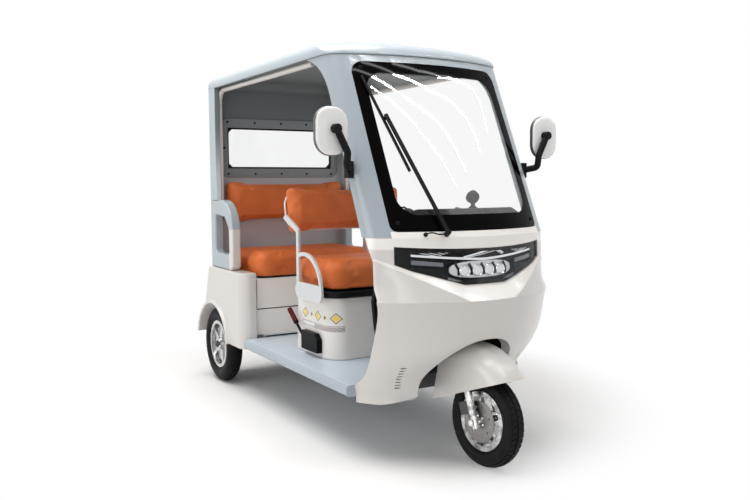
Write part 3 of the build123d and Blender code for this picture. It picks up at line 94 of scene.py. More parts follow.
class SeatSettings(bpy.types.PropertyGroup):
    voxel: FloatProperty(name="Voxel", description="Cell of the padded remesh", default=0.0065, unit="LENGTH")
    pressure: FloatProperty(name="Pressure", description="Pressure of the padding", default=4.0)
    frames: IntProperty(name="Frames", description="Steps of the padding", default=20)
    cap: FloatProperty(name="Cap", description="Most that a point of a cover may move", default=0.016,
                       unit="LENGTH")


class StageSettings(bpy.types.PropertyGroup):
    azimuth: FloatProperty(name="Azimuth", description="Camera's turn round the object", default=59.220)
    elevation: FloatProperty(name="Elevation", description="Camera's tilt", default=4.822)
    roll: FloatProperty(name="Roll", description="Camera's roll", default=-0.286)
    focal_px: FloatProperty(name="Focal length", description="In pixels of a 750 wide picture",
                            default=794.595)
    eye: FloatVectorProperty(name="Eye", description="Camera's place, from over the rear axle",
                             subtype="TRANSLATION", default=(4.448, -2.014, 1.158))


# Shader maths


class Wire:
    """A value in a material that takes part in arithmetic."""

    def __init__(self, finish, socket):
        self.finish = finish
        self.socket = socket

    def calc(self, operation, *others):
        node = self.finish.node("Math", {"operation": operation}, dict(enumerate(others)))
        return Wire(self.finish, node.outputs[0])

    def __add__(self, other):
        return self.calc("ADD", self, other)

    __radd__ = __add__

    def __mul__(self, other):
        return self.calc("MULTIPLY", self, other)

    __rmul__ = __mul__

    def __sub__(self, other):
        return self.calc("SUBTRACT", self, other)

    def __rsub__(self, other):
        return self.calc("SUBTRACT", other, self)

    def __truediv__(self, other):
        return self.calc("DIVIDE", self, other)

    def __gt__(self, other):
        return self.calc("GREATER_THAN", self, other)

    def __lt__(self, other):
        return self.calc("LESS_THAN", self, other)

    def __pow__(self, other):
        return self.calc("POWER", self, other)

    def __abs__(self):
        return self.calc("ABSOLUTE", self)

    def lower(self, other):
        return self.calc("MINIMUM", self, other)

    def higher(self, other):
        return self.calc("MAXIMUM", self, other)

    def fraction(self):
        return self.calc("FRACT", self)

    def sine(self):
        return self.calc("SINE", self)


class Finish:
    """One material and the nodes that make it."""

    def __init__(self, name):
        self.material = bpy.data.materials.new(name)
        self.material.use_nodes = True
        self.tree = self.material.node_tree
        self.tree.nodes.clear()
        self._point = None

    def node(self, kind, settings=None, sockets=None):
        made = self.tree.nodes.new("ShaderNode" + kind)
        for key, value in (settings or {}).items():
            setattr(made, key, value)
        for key, value in (sockets or {}).items():
            socket = made.inputs[key]
            if isinstance(value, Wire):
                self.tree.links.new(value.socket, socket)
            elif isinstance(value, (tuple, list)) and len(value) == 3 and socket.type == "RGBA":
                socket.default_value = (*value, 1.0)
            else:
                socket.default_value = value
        return made

    def out(self, kind, settings=None, sockets=None, output=0):
        return Wire(self, self.node(kind, settings, sockets).outputs[output])

    def place(self):
        """Object coordinates as one vector."""
        if self._point is None:
            self._point = self.out("TexCoord", output="Object")
        return self._point

    def xyz(self, vector=None):
        split = self.node("SeparateXYZ", None, {0: vector or self.place()})
        return [Wire(self, socket) for socket in split.outputs]

    def facing(self):
        """The surface's direction, in the object's own axes."""
        return self.xyz(self.out("TexCoord", output="Normal"))

    def noise(self, scale, detail=3.0, roughness=0.55):
        return self.out("TexNoise", None, {"Vector": self.place(), "Scale": scale, "Detail": detail,
                                           "Roughness": roughness}, "Fac")

    def cells(self, scale, feature):
        values = {"Vector": self.place(), "Scale": scale}
        return self.out("TexVoronoi", {"feature": feature}, values, "Distance")

    def mix(self, factor, low, high):
        made = self.node("Mix", {"data_type": "RGBA"}, {0: factor, 6: low, 7: high})
        return Wire(self, made.outputs[2])

    def ease(self, value, start, end):
        """0 below start, 1 past end, smooth between."""
        return self.out("MapRange", {"interpolation_type": "SMOOTHSTEP"},
                        {"Value": value, "From Min": start, "From Max": end})

    def along(self, direction, centre):
        """Distance from a point along a direction."""
        moved = self.out("VectorMath", {"operation": "SUBTRACT"}, {0: self.place(), 1: centre})
        return self.out("VectorMath", {"operation": "DOT_PRODUCT"}, {0: moved, 1: direction}, "Value")

    def from_point(self, centre):
        return self.out("VectorMath", {"operation": "DISTANCE"}, {0: self.place(), 1: centre}, "Value")

    def bump(self, height, distance, strength=1.0):
        return self.out("Bump", None, {"Height": height, "Distance": distance, "Strength": strength})

    def principled(self, **values):
        names = {"base": "Base Color", "rough": "Roughness", "metal": "Metallic", "coat": "Coat Weight",
                 "coat_rough": "Coat Roughness", "normal": "Normal", "specular": "Specular IOR Level",
                 "glow": "Emission Color", "glow_strength": "Emission Strength"}
        return self.out("BsdfPrincipled", None, {names[key]: value for key, value in values.items()})

    def blend(self, factor, first, second):
        return self.out("MixShader", None, {0: factor, 1: first, 2: second})

    def done(self, shader):
        self.node("OutputMaterial", None, {"Surface": shader})
        return self.material


FINISHES = {}
CREST_START, CREST_SLOPE = 0.115, 0.5


def finish_once(make):
    """Makes one material from a finish's shader, and keeps it for each set of options."""

    def get(*options):
        key = (make.__name__, *options)
        if key not in FINISHES:
            finish = Finish("_".join(part for part in key if isinstance(part, str)))
            FINISHES[key] = finish.done(make(finish, *options))
        return FINISHES[key]

    return get


def paint(name, factor=1.0):
    """One of the paints, made paler or darker by a factor; some finishes use this for painted light and shade."""
    return tuple(min(1.0, value * factor) for value in getattr(bpy.context.scene.trike_paint, name))


def lacquer(f, base, gloss=0.55, rough=0.32):
    """Sprayed paint: slight flow in the lacquer, faint dust, a thin clear coat."""
    flow = f.noise(190.0, 1.0)
    dust = f.ease(f.noise(6.0, 4.0), 0.45, 0.8)
    height = f.xyz()[2]
    grime = (1 - f.ease(height, 0.05, 0.5)) * dust * 0.35
    tone = f.mix(f.noise(2.2, 2.0) * 0.10, base, (0.9, 0.9, 0.9))
    tone = f.mix(grime, tone, (0.30, 0.28, 0.26))
    return f.principled(base=tone, rough=rough + dust * 0.08, coat=gloss - dust * 0.12, coat_rough=0.06,
                        normal=f.bump(flow, 0.0004, 0.25))


@finish_once
def cream_paint(f):
    return lacquer(f, paint("cream"))


@finish_once
def white_gloss(f):
    return lacquer(f, paint("white"), 0.5, 0.3)


@finish_once
def bracket_paint(f):
    return lacquer(f, (0.56, 0.575, 0.585), 0.5, 0.3)


@finish_once
def bench_paint(f):
    # Painted light: a paler copy of the cream that stands in for light that does not reach the bench in the cabin.
    return lacquer(f, paint("cream", 1.5), 0.5, 0.3)


@finish_once
def lined_shell(f, centre):
    """Blue outside and, inside, painted light and shade on the blue, told apart by which way the surface faces."""
    moved = f.out("VectorMath", {"operation": "SUBTRACT"}, {0: f.place(), 1: centre})
    normal = f.out("TexCoord", output="Normal")
    outward = f.out("VectorMath", {"operation": "DOT_PRODUCT"}, {0: moved, 1: normal}, "Value")
    inside = outward < 0.0
    grain = f.noise(900.0, 2.0)
    dark = f.mix(f.noise(40.0, 3.0) * 0.3, paint("lining"), (0.13, 0.15, 0.155))
    # Painted light and shade: the inside is pale below the window line and dark higher up, where shade falls under
    # the roof.
    tone = f.mix(f.ease(f.xyz()[2], 1.12, 1.52), (0.60, 0.645, 0.68), dark)
    lining = f.principled(base=tone, rough=0.6, specular=0.3, normal=f.bump(grain, 0.0003, 0.4))
    return f.blend(inside, lacquer(f, paint("blue")), lining)


@finish_once
def guard_paint(f):
    """Blue rail with a cream front post below the split line."""
    x, _, z = f.xyz()
    post = f.ease(x, AXLE_X + 0.240, AXLE_X + 0.2405) * (1 - f.ease(z, 0.9055, 0.906))
    return lacquer(f, f.mix(post, paint("blue"), paint("cream")))


@finish_once
def fairing_paint(f):
    """Cream panels, with a painted highlight above the lamp: paler cream where light from above falls on the sill.
    """
    high = f.ease(f.xyz()[2], 0.893, 0.903)
    return lacquer(f, f.mix(high, paint("cream"), paint("cream", 1.38)), 0.6, 0.28)


@finish_once
def ledge_paint(f):
    """Painted highlight: paler cream above the crest of the lip, where light from above falls on its upper face,
    and the fairing's cream below it.
    """
    _, y, z = f.xyz()
    crest = (abs(y) - CREST_START).higher(0.0) * CREST_SLOPE
    above = f.ease(z - crest, 0.6905, 0.6965)
    return lacquer(f, f.mix(above, paint("cream"), paint("cream", 1.32)), 0.6, 0.28)


@finish_once
def screen_frame_paint(f):
    """Blue pillars and header, with a cream sill under the screen. The blue is a darker copy of the roof's blue,
    painted shade, and the sill's paler cream is a painted highlight.
    """
    _, y, z = f.xyz()
    sill = (1 - f.ease(z, 0.9668, 0.967)) * (abs(y) < 0.376)
    # Painted shade: the frame's blue is a darker copy of the roof's blue.
    blue = paint("blue", 0.87)
    return lacquer(f, f.mix(sill, blue, paint("cream", 1.38)))


@finish_once
def black_plastic(f, rough=0.42):
    grain = f.noise(700.0, 2.0)
    tone = f.mix(f.noise(30.0, 3.0) * 0.35, paint("black"), (0.016, 0.016, 0.017))
    return f.principled(base=tone, rough=rough + f.noise(60.0) * 0.12, specular=0.10,
                        normal=f.bump(grain, 0.0003, 0.35))


@finish_once
def grey_plastic(f):
    tone = f.mix(f.noise(26.0, 3.0) * 0.25, (0.22, 0.245, 0.255), (0.29, 0.315, 0.325))
    return f.principled(base=tone, rough=0.45, normal=f.bump(f.noise(800.0, 2.0), 0.0003, 0.35))


@finish_once
def chassis_paint(f):
    chips = f.ease(f.noise(55.0, 5.0, 0.65), 0.66, 0.72)
    tone = f.mix(chips * 0.5, (0.018, 0.018, 0.019), (0.09, 0.075, 0.065))
    return f.principled(base=tone, rough=0.42 + chips * 0.3, normal=f.bump(f.noise(120.0), 0.0005, 0.4))


@finish_once
def cast_metal(f):
    tone = f.mix(f.noise(80.0, 4.0), (0.07, 0.07, 0.072), (0.13, 0.13, 0.13))
    return f.principled(base=tone, metal=0.6, rough=0.5 + f.noise(25.0) * 0.2,
                        normal=f.bump(f.noise(420.0, 3.0), 0.0008, 0.5))


@finish_once
def alloy(f, bright):
    """Machined wheel metal with a fine brushed grain, and dark patches that are painted reflections, strongest on
    the front rim.
    """
    level = 0.74 if bright else 0.72
    streak = f.noise(260.0, 2.0)
    # Painted reflection: dark patches for the dark reflections across the rim.
    dark_reflection = f.ease(f.noise(34.0, 3.0), 0.42, 0.62) * (0.75 if bright else 0.25)
    tone = f.mix(streak, (level * 0.9, level * 0.9, level * 0.9), (level, level, level * 0.99))
    tone = f.mix(dark_reflection, tone, (level * 0.22, level * 0.22, level * 0.22))
    return f.principled(base=tone, metal=1.0, rough=0.20 + f.noise(18.0, 3.0) * 0.14,
                        normal=f.bump(streak, 0.0002, 0.25))


@finish_once
def drum_metal(f):
    """Pale cast face behind the spokes."""
    grain = f.noise(90.0, 3.0)
    return f.principled(base=f.mix(grain, (0.42, 0.43, 0.44), (0.56, 0.57, 0.58)), metal=0.3,
                        rough=0.45 + grain * 0.1, normal=f.bump(grain, 0.0004, 0.3))


@finish_once
def chrome(f):
    smear = f.noise(24.0, 4.0)
    return f.principled(base=f.mix(smear, (0.84, 0.85, 0.86), (0.92, 0.92, 0.92)), metal=1.0,
                        rough=0.05 + smear * 0.06)


@finish_once
def disc_steel(f, centre):
    """Ground steel with rings turned round the axle."""
    out = f.from_point(centre)
    ring = (out * 2600.0).sine()
    tone = f.mix(ring * 0.5 + 0.5, (0.20, 0.19, 0.19), (0.40, 0.385, 0.375))
    return f.principled(base=tone, metal=1.0, rough=0.3 + f.noise(30.0) * 0.12,
                        normal=f.bump(ring, 0.0001, 0.3))


@finish_once
def tyre_rubber(f, centre, axis, rim_radius, tyre_radius):
    """Black rubber with moulded rings on the sidewalls and dust in the tread."""
    across = f.along(axis, centre)
    reach = f.from_point(centre)
    out = (reach * reach - across * across) ** 0.5
    wall = (out - rim_radius) / (tyre_radius - rim_radius)
    rings = ((wall * 46.0).sine() * 0.5 + 0.5) * (1 - f.ease(wall, 0.55, 0.62)) * f.ease(wall, 0.1, 0.16)
    dust = f.ease(f.noise(22.0, 5.0, 0.6), 0.42, 0.75)
    tone = f.mix(dust * 0.5, (0.007, 0.007, 0.0072), (0.022, 0.021, 0.020))
    skin = f.noise(900.0, 2.0) * 0.25 + rings
    return f.principled(base=tone, rough=0.50 + dust * 0.18, specular=0.12,
                        normal=f.bump(skin, 0.0009, 0.5))


@finish_once
def rubber(f):
    tone = f.mix(f.noise(45.0, 4.0) * 0.5, (0.011, 0.011, 0.011), (0.03, 0.03, 0.03))
    return f.principled(base=tone, rough=0.6, specular=0.15, normal=f.bump(f.noise(500.0), 0.0005, 0.5))


@finish_once
def leather(f, low):
    """Grained cover, darker in the creases, with the black base board at its foot."""
    pebble = f.ease(f.cells(420.0, "DISTANCE_TO_EDGE"), 0.0, 0.22)
    worn = f.ease(f.noise(7.0, 4.0), 0.4, 0.7)
    base = paint("leather")
    dark = tuple(value * 0.72 for value in base)
    light = tuple(min(1.0, value * 1.16 + 0.008) for value in base)
    tone = f.mix(pebble * 0.55 + 0.45, dark, base)
    tone = f.mix(worn * 0.5, tone, light)
    tone = f.mix(1 - f.ease(f.xyz()[2], low + 0.010, low + 0.014), tone, (0.012, 0.011, 0.011))
    return f.principled(base=tone, rough=0.40 - worn * 0.08 + (1 - pebble) * 0.12, specular=0.3,
                        normal=f.bump(pebble + f.noise(160.0, 3.0) * 0.5, 0.0006, 0.5))


def clear(f, tint, reflect):
    """Thin glass: see-through, with a mirror layer that grows at a slant."""
    slant = f.out("LayerWeight", None, {"Blend": 0.42}, "Fresnel")
    see = f.out("BsdfTransparent", None, {"Color": tint})
    shine = f.out("BsdfGlossy", None, {"Color": (1, 1, 1), "Roughness": 0.015})
    return f.blend((slant * reflect).lower(1.0), see, shine)


@finish_once
def screen_glass(f):
    """Windscreen with a printed black edge that is wider at the bottom."""
    _, y, z = f.xyz()
    clear_half, clear_low, clear_high, clear_corner = 0.254, 1.105, 1.545, 0.0745
    out = (abs(y) - clear_half).higher(0.0)
    high = ((out ** 2 + (z - clear_high).higher(0.0) ** 2) ** 0.5) > clear_corner
    low = ((out ** 2 + (clear_low - z).higher(0.0) ** 2) ** 0.5) > clear_corner
    edge = high.higher(low)
    tone = f.mix(f.noise(50.0) * 0.4, (0.001, 0.001, 0.001), (0.003, 0.003, 0.003))
    ink = f.principled(base=tone, rough=0.03,
                       specular=0.03)
    return f.blend(edge, clear(f, (0.96, 0.965, 0.96), 0.14), ink)


@finish_once
def lens_glass(f):
    """Lamp cover with a trace of dust."""
    dust = f.noise(70.0, 3.0)
    film = f.principled(base=(0.6, 0.6, 0.6), rough=0.4)
    return f.blend(dust * 0.02, clear(f, (0.95, 0.955, 0.96), 0.035), film)


@finish_once
def window_pane(f):
    """Clear sheet with a faint haze and black corners."""
    haze = f.noise(9.0, 3.0) * 0.04
    _, y, z = f.xyz()
    low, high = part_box("rear_window")
    cut = 0.030
    middle, half = 0.5 * (low[2] + high[2]), 0.5 * (high[2] - low[2])
    beyond = (abs(y) - (high[1] - cut)) + (abs(z - middle) - (half - cut))
    film = f.principled(base=(0.85, 0.86, 0.86), rough=0.5)
    sheet = f.blend(haze, clear(f, (0.955, 0.958, 0.958), 0.10), film)
    edge = f.principled(base=(0.012, 0.012, 0.012), rough=0.5)
    return f.blend(beyond > cut, sheet, edge)


@finish_once
def mirror_glass(f):
    smear = f.noise(30.0, 4.0)
    return f.principled(base=(0.92, 0.93, 0.94), metal=1.0, rough=0.02 + smear * 0.03)


@finish_once
def mirror_shell(f, low_x):
    """White shell with a black rim round the glass."""
    rim = 1 - f.ease(f.xyz()[0], low_x + 0.0165, low_x + 0.0170)
    return lacquer(f, f.mix(rim, paint("white"), (0.012, 0.012, 0.013)), 0.5, 0.3)


@finish_once
def lamp_black(f):
    tone = f.mix(f.noise(30.0) * 0.4, (0.003, 0.0032, 0.0035), (0.008, 0.0085, 0.009))
    return f.principled(base=tone, rough=0.18, specular=0.06)


@finish_once
def lamp_grey(f):
    flutes = (f.xyz()[1] * 900.0).sine() * 0.5 + 0.5
    return f.principled(base=f.mix(flutes, (0.13, 0.14, 0.155), (0.24, 0.25, 0.265)), metal=0.4, rough=0.35)


@finish_once
def reflector(f):
    """Bright moulded bowl behind the projectors."""
    ripple = f.noise(55.0, 3.0)
    return f.principled(base=f.mix(ripple, (0.52, 0.54, 0.56), (0.80, 0.81, 0.82)), metal=0.7,
                        rough=0.16 + ripple * 0.1, normal=f.bump(ripple, 0.002, 0.4))


@finish_once
def light_guide(f):
    """Frosted white bar of the running light, with a faint glow though it is not lit: painted light."""
    ribs = (f.xyz()[1] * 1400.0).sine() * 0.5 + 0.5
    return f.principled(base=f.mix(ribs, (0.80, 0.80, 0.80), (0.92, 0.92, 0.92)), rough=0.25, coat=0.4,
                        coat_rough=0.05, glow=(1, 1, 1), glow_strength=0.12)


@finish_once
def lamp_red(f):
    prism = ((f.xyz()[1] * 620.0).sine() * (f.xyz()[2] * 620.0).sine()) * 0.5 + 0.5
    return f.principled(base=f.mix(prism, (0.22, 0.004, 0.004), (0.46, 0.014, 0.012)), rough=0.12, coat=0.6,
                        coat_rough=0.03, normal=f.bump(prism, 0.0006, 0.5))


@finish_once
def brake_box(f, grip_x):
    """Black moulding with a dark red grip at the lever's end."""
    grip = 1 - f.ease(f.xyz()[0], grip_x, grip_x + 0.0008)
    tone = f.mix(grip, (0.004, 0.004, 0.0045), (0.07, 0.007, 0.006))
    return f.principled(base=tone, rough=0.35 + f.noise(60.0) * 0.12, specular=0.08,
                        normal=f.bump(f.noise(600.0, 2.0), 0.0003, 0.4))


@finish_once
def pedestal_paint(f):
    """Cream moulding with a row of yellow diamonds and dots, and a grey band, round its front corners."""
    x, y, z = f.xyz()
    corner_x, corner_half, corner_radius = AXLE_X + 1.09, 0.212, 0.1
    pitch, row_z, band_z, band_half, line_z = 0.137, 0.519, 0.466, 0.011, 0.470
    corner = x - corner_x
    turn = corner.higher(0.0).calc("ARCTAN2", corner.higher(0.0), (abs(y) - corner_half).higher(0.0001))
    along = corner.lower(0.0) + turn * corner_radius + 0.187
    wall = abs(y) > corner_half + 0.002
    count = along / pitch + 0.5
    row = abs(z - row_z)
    diamond = abs(count.fraction() - 0.5) * (pitch / 0.035) + row / 0.027
    dot = abs((count + 0.5).fraction() - 0.5) * (pitch / 0.012) + row / 0.012
    span = (along > -0.03) * (along < 0.32) * wall
    lines = abs(abs(z - line_z) - band_half) < 0.0022
    band = ((abs(z - band_z) < band_half) * (along > 0.10)).higher(lines)
    hatch = (((x + z) * 420.0).sine() * 0.5 + 0.5) * 0.3
    # Painted light: the moulding's cream is a paler copy, for light that does not reach it in the cabin. The
    # diamonds, dots and band are print.
    tone = f.mix((diamond < 1.0) * span, paint("cream", 1.25), (0.10, 0.085, 0.06))
    tone = f.mix((diamond < 0.80) * span, tone, (0.80, 0.68, 0.24))
    tone = f.mix((diamond < 0.55) * span, tone, (0.86, 0.60, 0.03))
    tone = f.mix((dot < 1.0) * span, tone, (0.26, 0.11, 0.03))
    tone = f.mix(band * span * (0.55 + hatch), tone, (0.24, 0.19, 0.20))
    return lacquer(f, tone, 0.5, 0.3)


@finish_once
def floor_paint(f):
    """Blue floor, painted paler on its top faces where light from above falls (painted light), with a fine moulded
    grip on its top and a black front edge behind the wheel arch.
    """
    _, y, _ = f.xyz()
    top = f.ease(f.facing()[2], 0.9, 0.95)
    grip = f.cells(260.0, "F1")
    # Painted light: the top faces get a paler copy of the blue, where light from above falls.
    lit_top_blue = paint("blue", 1.65)
    tone = f.mix(f.noise(5.0, 4.0) * 0.25, f.mix(top, paint("blue"), lit_top_blue), (0.46, 0.51, 0.55))
    ahead = (f.facing()[0] > 0.5) * (abs(y) < 0.40)
    tone = f.mix(ahead, tone, paint("black"))
    return f.principled(base=tone, rough=0.36 + top * 0.08, coat=(0.35 - top * 0.15) * (1 - ahead),
                        coat_rough=0.08, normal=f.bump(grip * top, 0.0006, 0.35))


@finish_once
def studio_floor(f):
    """White sweep: plain white to the camera and in reflections, matt elsewhere so that it holds a shadow."""
    tone = f.mix(f.noise(3.0, 2.0) * 0.02, (0.885, 0.88, 0.875), (0.865, 0.86, 0.855))
    matt = f.principled(base=tone, rough=0.9, specular=0.0)
    rays = f.node("LightPath")
    seen = Wire(f, rays.outputs["Is Camera Ray"]).higher(Wire(f, rays.outputs["Is Glossy Ray"]))
    x, y, _ = f.xyz()
    far = f.ease(((x + 0.35) ** 2 + y * y) ** 0.5, 1.15, 1.80)
    white = f.out("Emission", None, {"Color": (1, 1, 1), "Strength": 1.0})
    return f.blend(far * seen, matt, white)


@finish_once
def tube_light(f):
    """Bright tube of the studio ceiling."""
    return f.out("Emission", None, {"Color": (1, 1, 1), "Strength": 60.0})


# Mesh helpers


def link(name, mesh):
    piece = bpy.data.objects.new(name, mesh)
    bpy.context.scene.collection.objects.link(piece)
    return piece


def final_mesh(piece):
    """A piece's mesh with its modifiers applied."""
    return bpy.data.meshes.new_from_object(piece.evaluated_get(bpy.context.evaluated_depsgraph_get()))


def settle(piece, body, material, smooth_angle=SMOOTH):
    """Gives a new piece its finish and its body."""
    mesh = piece.data
    mesh.materials.clear()
    mesh.materials.append(material)
    mesh.shade_smooth()
    mesh.set_sharp_from_angle(angle=math.radians(smooth_angle))
    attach(piece, body)
    return piece


def put(name, mesh, material, body="chassis", smooth_angle=SMOOTH):
    return settle(link(name, mesh), body, material, smooth_angle)


def solid_mesh(name, verts, faces):
    mesh = bpy.data.meshes.new(name)
    mesh.from_pydata([tuple(v) for v in verts], [], faces)
    bm = bmesh.new()
    bm.from_mesh(mesh)
    bmesh.ops.remove_doubles(bm, verts=bm.verts, dist=1e-6)
    bmesh.ops.recalc_face_normals(bm, faces=bm.faces)
    bm.to_mesh(mesh)
    bm.free()
    return mesh


def merged_copy(node, name):
    """A CAD node's mesh as a new one under edit, with its facets joined at their corners."""
    source = NODES[node].data
    mesh = bpy.data.meshes.new(name)
    faces = [tuple(p.vertices) for p in source.polygons]
    mesh.from_pydata([tuple(v.co) for v in source.vertices], [], faces)
    bm = bmesh.new()
    bm.from_mesh(mesh)
    bmesh.ops.remove_doubles(bm, verts=bm.verts, dist=WELD)
    return mesh, bm


def dressed(node, material, bevel=0.002, smooth_angle=SMOOTH, segments=2, grow=0.0):
    """A merged copy of a CAD node with softened edges and a finish, in place of the node."""
    mesh, bm = merged_copy(node, node + "_panel")
    bmesh.ops.dissolve_limit(bm, angle_limit=math.radians(0.4), verts=bm.verts, edges=bm.edges)
    bm.to_mesh(mesh)
    bm.free()
    piece = link(node + "_panel", mesh)
    settle(piece, BODY_OF[node], material, smooth_angle)
    if bevel:
        edge = piece.modifiers.new("soft_edges", "BEVEL")
        edge.width = bevel
        edge.segments = segments
        edge.limit_method = "ANGLE"
        edge.angle_limit = math.radians(42)
        edge.use_clamp_overlap = True
        edge.harden_normals = False
    if grow:
        fatter = piece.modifiers.new("grow", "DISPLACE")
        fatter.strength = grow
        fatter.mid_level = 0.0
    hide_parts(node)
    return piece


def lathe(name, profile, centre, axis, steps):
    """Closed profile of (along, out) pairs turned round an axle."""
    axis = Vector(axis).normalized()
    side = axis.orthogonal().normalized()
    up = axis.cross(side)
    verts, faces = [], []
    count = len(profile)
    for step in range(steps):
        turn = 2 * math.pi * step / steps
        spoke = side * math.cos(turn) + up * math.sin(turn)
        for along, out in profile:
            verts.append(Vector(centre) + axis * along + spoke * out)
    for step in range(steps):
        after = (step + 1) % steps
        for i in range(count):
            j = (i + 1) % count
            faces.append((step * count + i, step * count + j, after * count + j, after * count + i))
    return solid_mesh(name, verts, faces)


def tube(name, points, radius, sides=10, closed=False):
    """Round bar through points, made a mesh."""
    curve = bpy.data.curves.new(name, "CURVE")
    curve.dimensions = "3D"
    curve.bevel_depth = radius
    curve.bevel_resolution = max(1, sides // 4)
    curve.use_fill_caps = True
    spline = curve.splines.new("POLY")
    spline.points.add(len(points) - 1)
    for place, point in zip(spline.points, points):
        place.co = (*point, 1.0)
    spline.use_cyclic_u = closed
    holder = link(name + "_path", curve)
    mesh = final_mesh(holder)
    bpy.data.objects.remove(holder)
    bpy.data.curves.remove(curve)
    return mesh


def rounded(points, radius, steps=5):
    """Corner points of an open run, with each inner corner turned into an arc."""
    result = [Vector(points[0])]
    for before, corner, after in zip(points, points[1:], points[2:]):
        before, corner, after = Vector(before), Vector(corner), Vector(after)
        reach = min(radius, (before - corner).length * 0.45, (after - corner).length * 0.45)
        start = corner + (before - corner).normalized() * reach
        end = corner + (after - corner).normalized() * reach
        for step in range(steps + 1):
            share = step / steps
            result.append(start.lerp(corner, share).lerp(corner.lerp(end, share), share))
    result.append(Vector(points[-1]))
    return result


def strip(name, rows):
    """Closed thin plate from two matching runs of points in front and two behind."""
    count = len(rows[0])
    verts = [point for row in rows for point in row]
    faces = []
    around = len(rows)
    for ring in range(around):
        after = (ring + 1) % around
        for i in range(count - 1):
            faces.append((ring * count + i, ring * count + i + 1, after * count + i + 1, after * count + i))
    faces.append(tuple(ring * count for ring in range(around)))
    faces.append(tuple(ring * count + count - 1 for ring in reversed(range(around))))
    return solid_mesh(name, verts, faces)


def grid_shell(name, front, back):
    """Closed plate between two matching grids of points."""
    rows, cols = len(front), len(front[0])
    verts = [point for grid in (front, back) for row in grid for point in row]
    rear = rows * cols
    faces = []
    for i in range(rows - 1):
        for j in range(cols - 1):
            ring = (i * cols + j, i * cols + j + 1, (i + 1) * cols + j + 1, (i + 1) * cols + j)
            faces += [ring, tuple(rear + k for k in reversed(ring))]
        for j in (0, cols - 1):
            a, b = i * cols + j, (i + 1) * cols + j
            faces.append((a, b, rear + b, rear + a))
    for i in (0, rows - 1):
        for j in range(cols - 1):
            a = i * cols + j
            faces.append((a, a + 1, rear + a + 1, rear + a))
    return solid_mesh(name, verts, faces)


# Geometry Nodes: one part repeated at every point of a holder mesh, turned to each point's own direction


def repeat_tree():
    tree = bpy.data.node_groups.get("repeat_on_points")
    if tree:
        return tree
    tree = bpy.data.node_groups.new("repeat_on_points", "GeometryNodeTree")
    face = tree.interface
    face.new_socket("Points", in_out="INPUT", socket_type="NodeSocketGeometry")
    face.new_socket("Part", in_out="INPUT", socket_type="NodeSocketObject")
    face.new_socket("Finish", in_out="INPUT", socket_type="NodeSocketMaterial")
    face.new_socket("Mesh", in_out="OUTPUT", socket_type="NodeSocketGeometry")
    nodes, links = tree.nodes, tree.links
    enter, leave = nodes.new("NodeGroupInput"), nodes.new("NodeGroupOutput")
    part = nodes.new("GeometryNodeObjectInfo")
    place = nodes.new("GeometryNodeInstanceOnPoints")
    upward, ahead = nodes.new("GeometryNodeInputNamedAttribute"), nodes.new("GeometryNodeInputNamedAttribute")
    for reader, name in ((upward, "up"), (ahead, "ahead")):
        reader.data_type = "FLOAT_VECTOR"
        reader.inputs["Name"].default_value = name
    aim = nodes.new("FunctionNodeAxesToRotation")
    aim.primary_axis, aim.secondary_axis = "Z", "X"
    whole, paint = nodes.new("GeometryNodeRealizeInstances"), nodes.new("GeometryNodeSetMaterial")
    links.new(enter.outputs["Points"], place.inputs["Points"])
    links.new(enter.outputs["Part"], part.inputs["Object"])
    links.new(part.outputs["Geometry"], place.inputs["Instance"])
    links.new(upward.outputs["Attribute"], aim.inputs["Primary Axis"])
    links.new(ahead.outputs["Attribute"], aim.inputs["Secondary Axis"])
    links.new(aim.outputs["Rotation"], place.inputs["Rotation"])
    links.new(place.outputs["Instances"], whole.inputs["Geometry"])
    links.new(whole.outputs["Geometry"], paint.inputs["Geometry"])
    links.new(enter.outputs["Finish"], paint.inputs["Material"])
    links.new(paint.outputs["Geometry"], leave.inputs["Mesh"])
    return tree


def repeated(name, part_mesh, spots, body, material, smooth_angle=SMOOTH):
    """Copies of a small part at (place, up, ahead) spots, as one plain mesh."""
    part = link(name + "_part", part_mesh)
    points = bpy.data.meshes.new(name + "_points")
    points.from_pydata([tuple(spot[0]) for spot in spots], [], [])
    for key, index in (("up", 1), ("ahead", 2)):
        values = points.attributes.new(key, "FLOAT_VECTOR", "POINT")
        values.data.foreach_set("vector", [number for spot in spots for number in Vector(spot[index])])
    holder = link(name + "_holder", points)
    modifier = holder.modifiers.new("repeat", "NODES")
    tree = repeat_tree()
    modifier.node_group = tree
    ids = {item.name: item.identifier for item in tree.interface.items_tree if item.in_out == "INPUT"}
    modifier[ids["Part"]] = part
    modifier[ids["Finish"]] = material
    mesh = final_mesh(holder)
    holder.modifiers.remove(modifier)
    bpy.data.objects.remove(holder)
    bpy.data.objects.remove(part)
    return settle(link(name, mesh), body, material, smooth_angle)


def screw_mesh(radius, height):
    """Domed head with a hexagon recess."""
    rings = [(radius, 0.0), (radius, height * 0.35), (radius * 0.86, height * 0.75), (radius * 0.55, height),
             (radius * 0.45, height), (radius * 0.42, height * 0.45), (0.0, height * 0.45)]
    sides = 12
    verts, faces = [], []
    for out, up in rings[:-1]:
        for k in range(sides):
            turn = 2 * math.pi * k / sides
            verts.append((out * math.cos(turn), out * math.sin(turn), up))
    verts.append((0, 0, rings[-1][1]))
    for ring in range(len(rings) - 2):
        for k in range(sides):
            m = (k + 1) % sides
            faces.append((ring * sides + k, ring * sides + m, (ring + 1) * sides + m, (ring + 1) * sides + k))
    last = (len(rings) - 2) * sides
    faces += [(last + k, last + (k + 1) % sides, len(verts) - 1) for k in range(sides)]
    faces.append(tuple(reversed(range(sides))))
    return solid_mesh("screw", verts, faces)


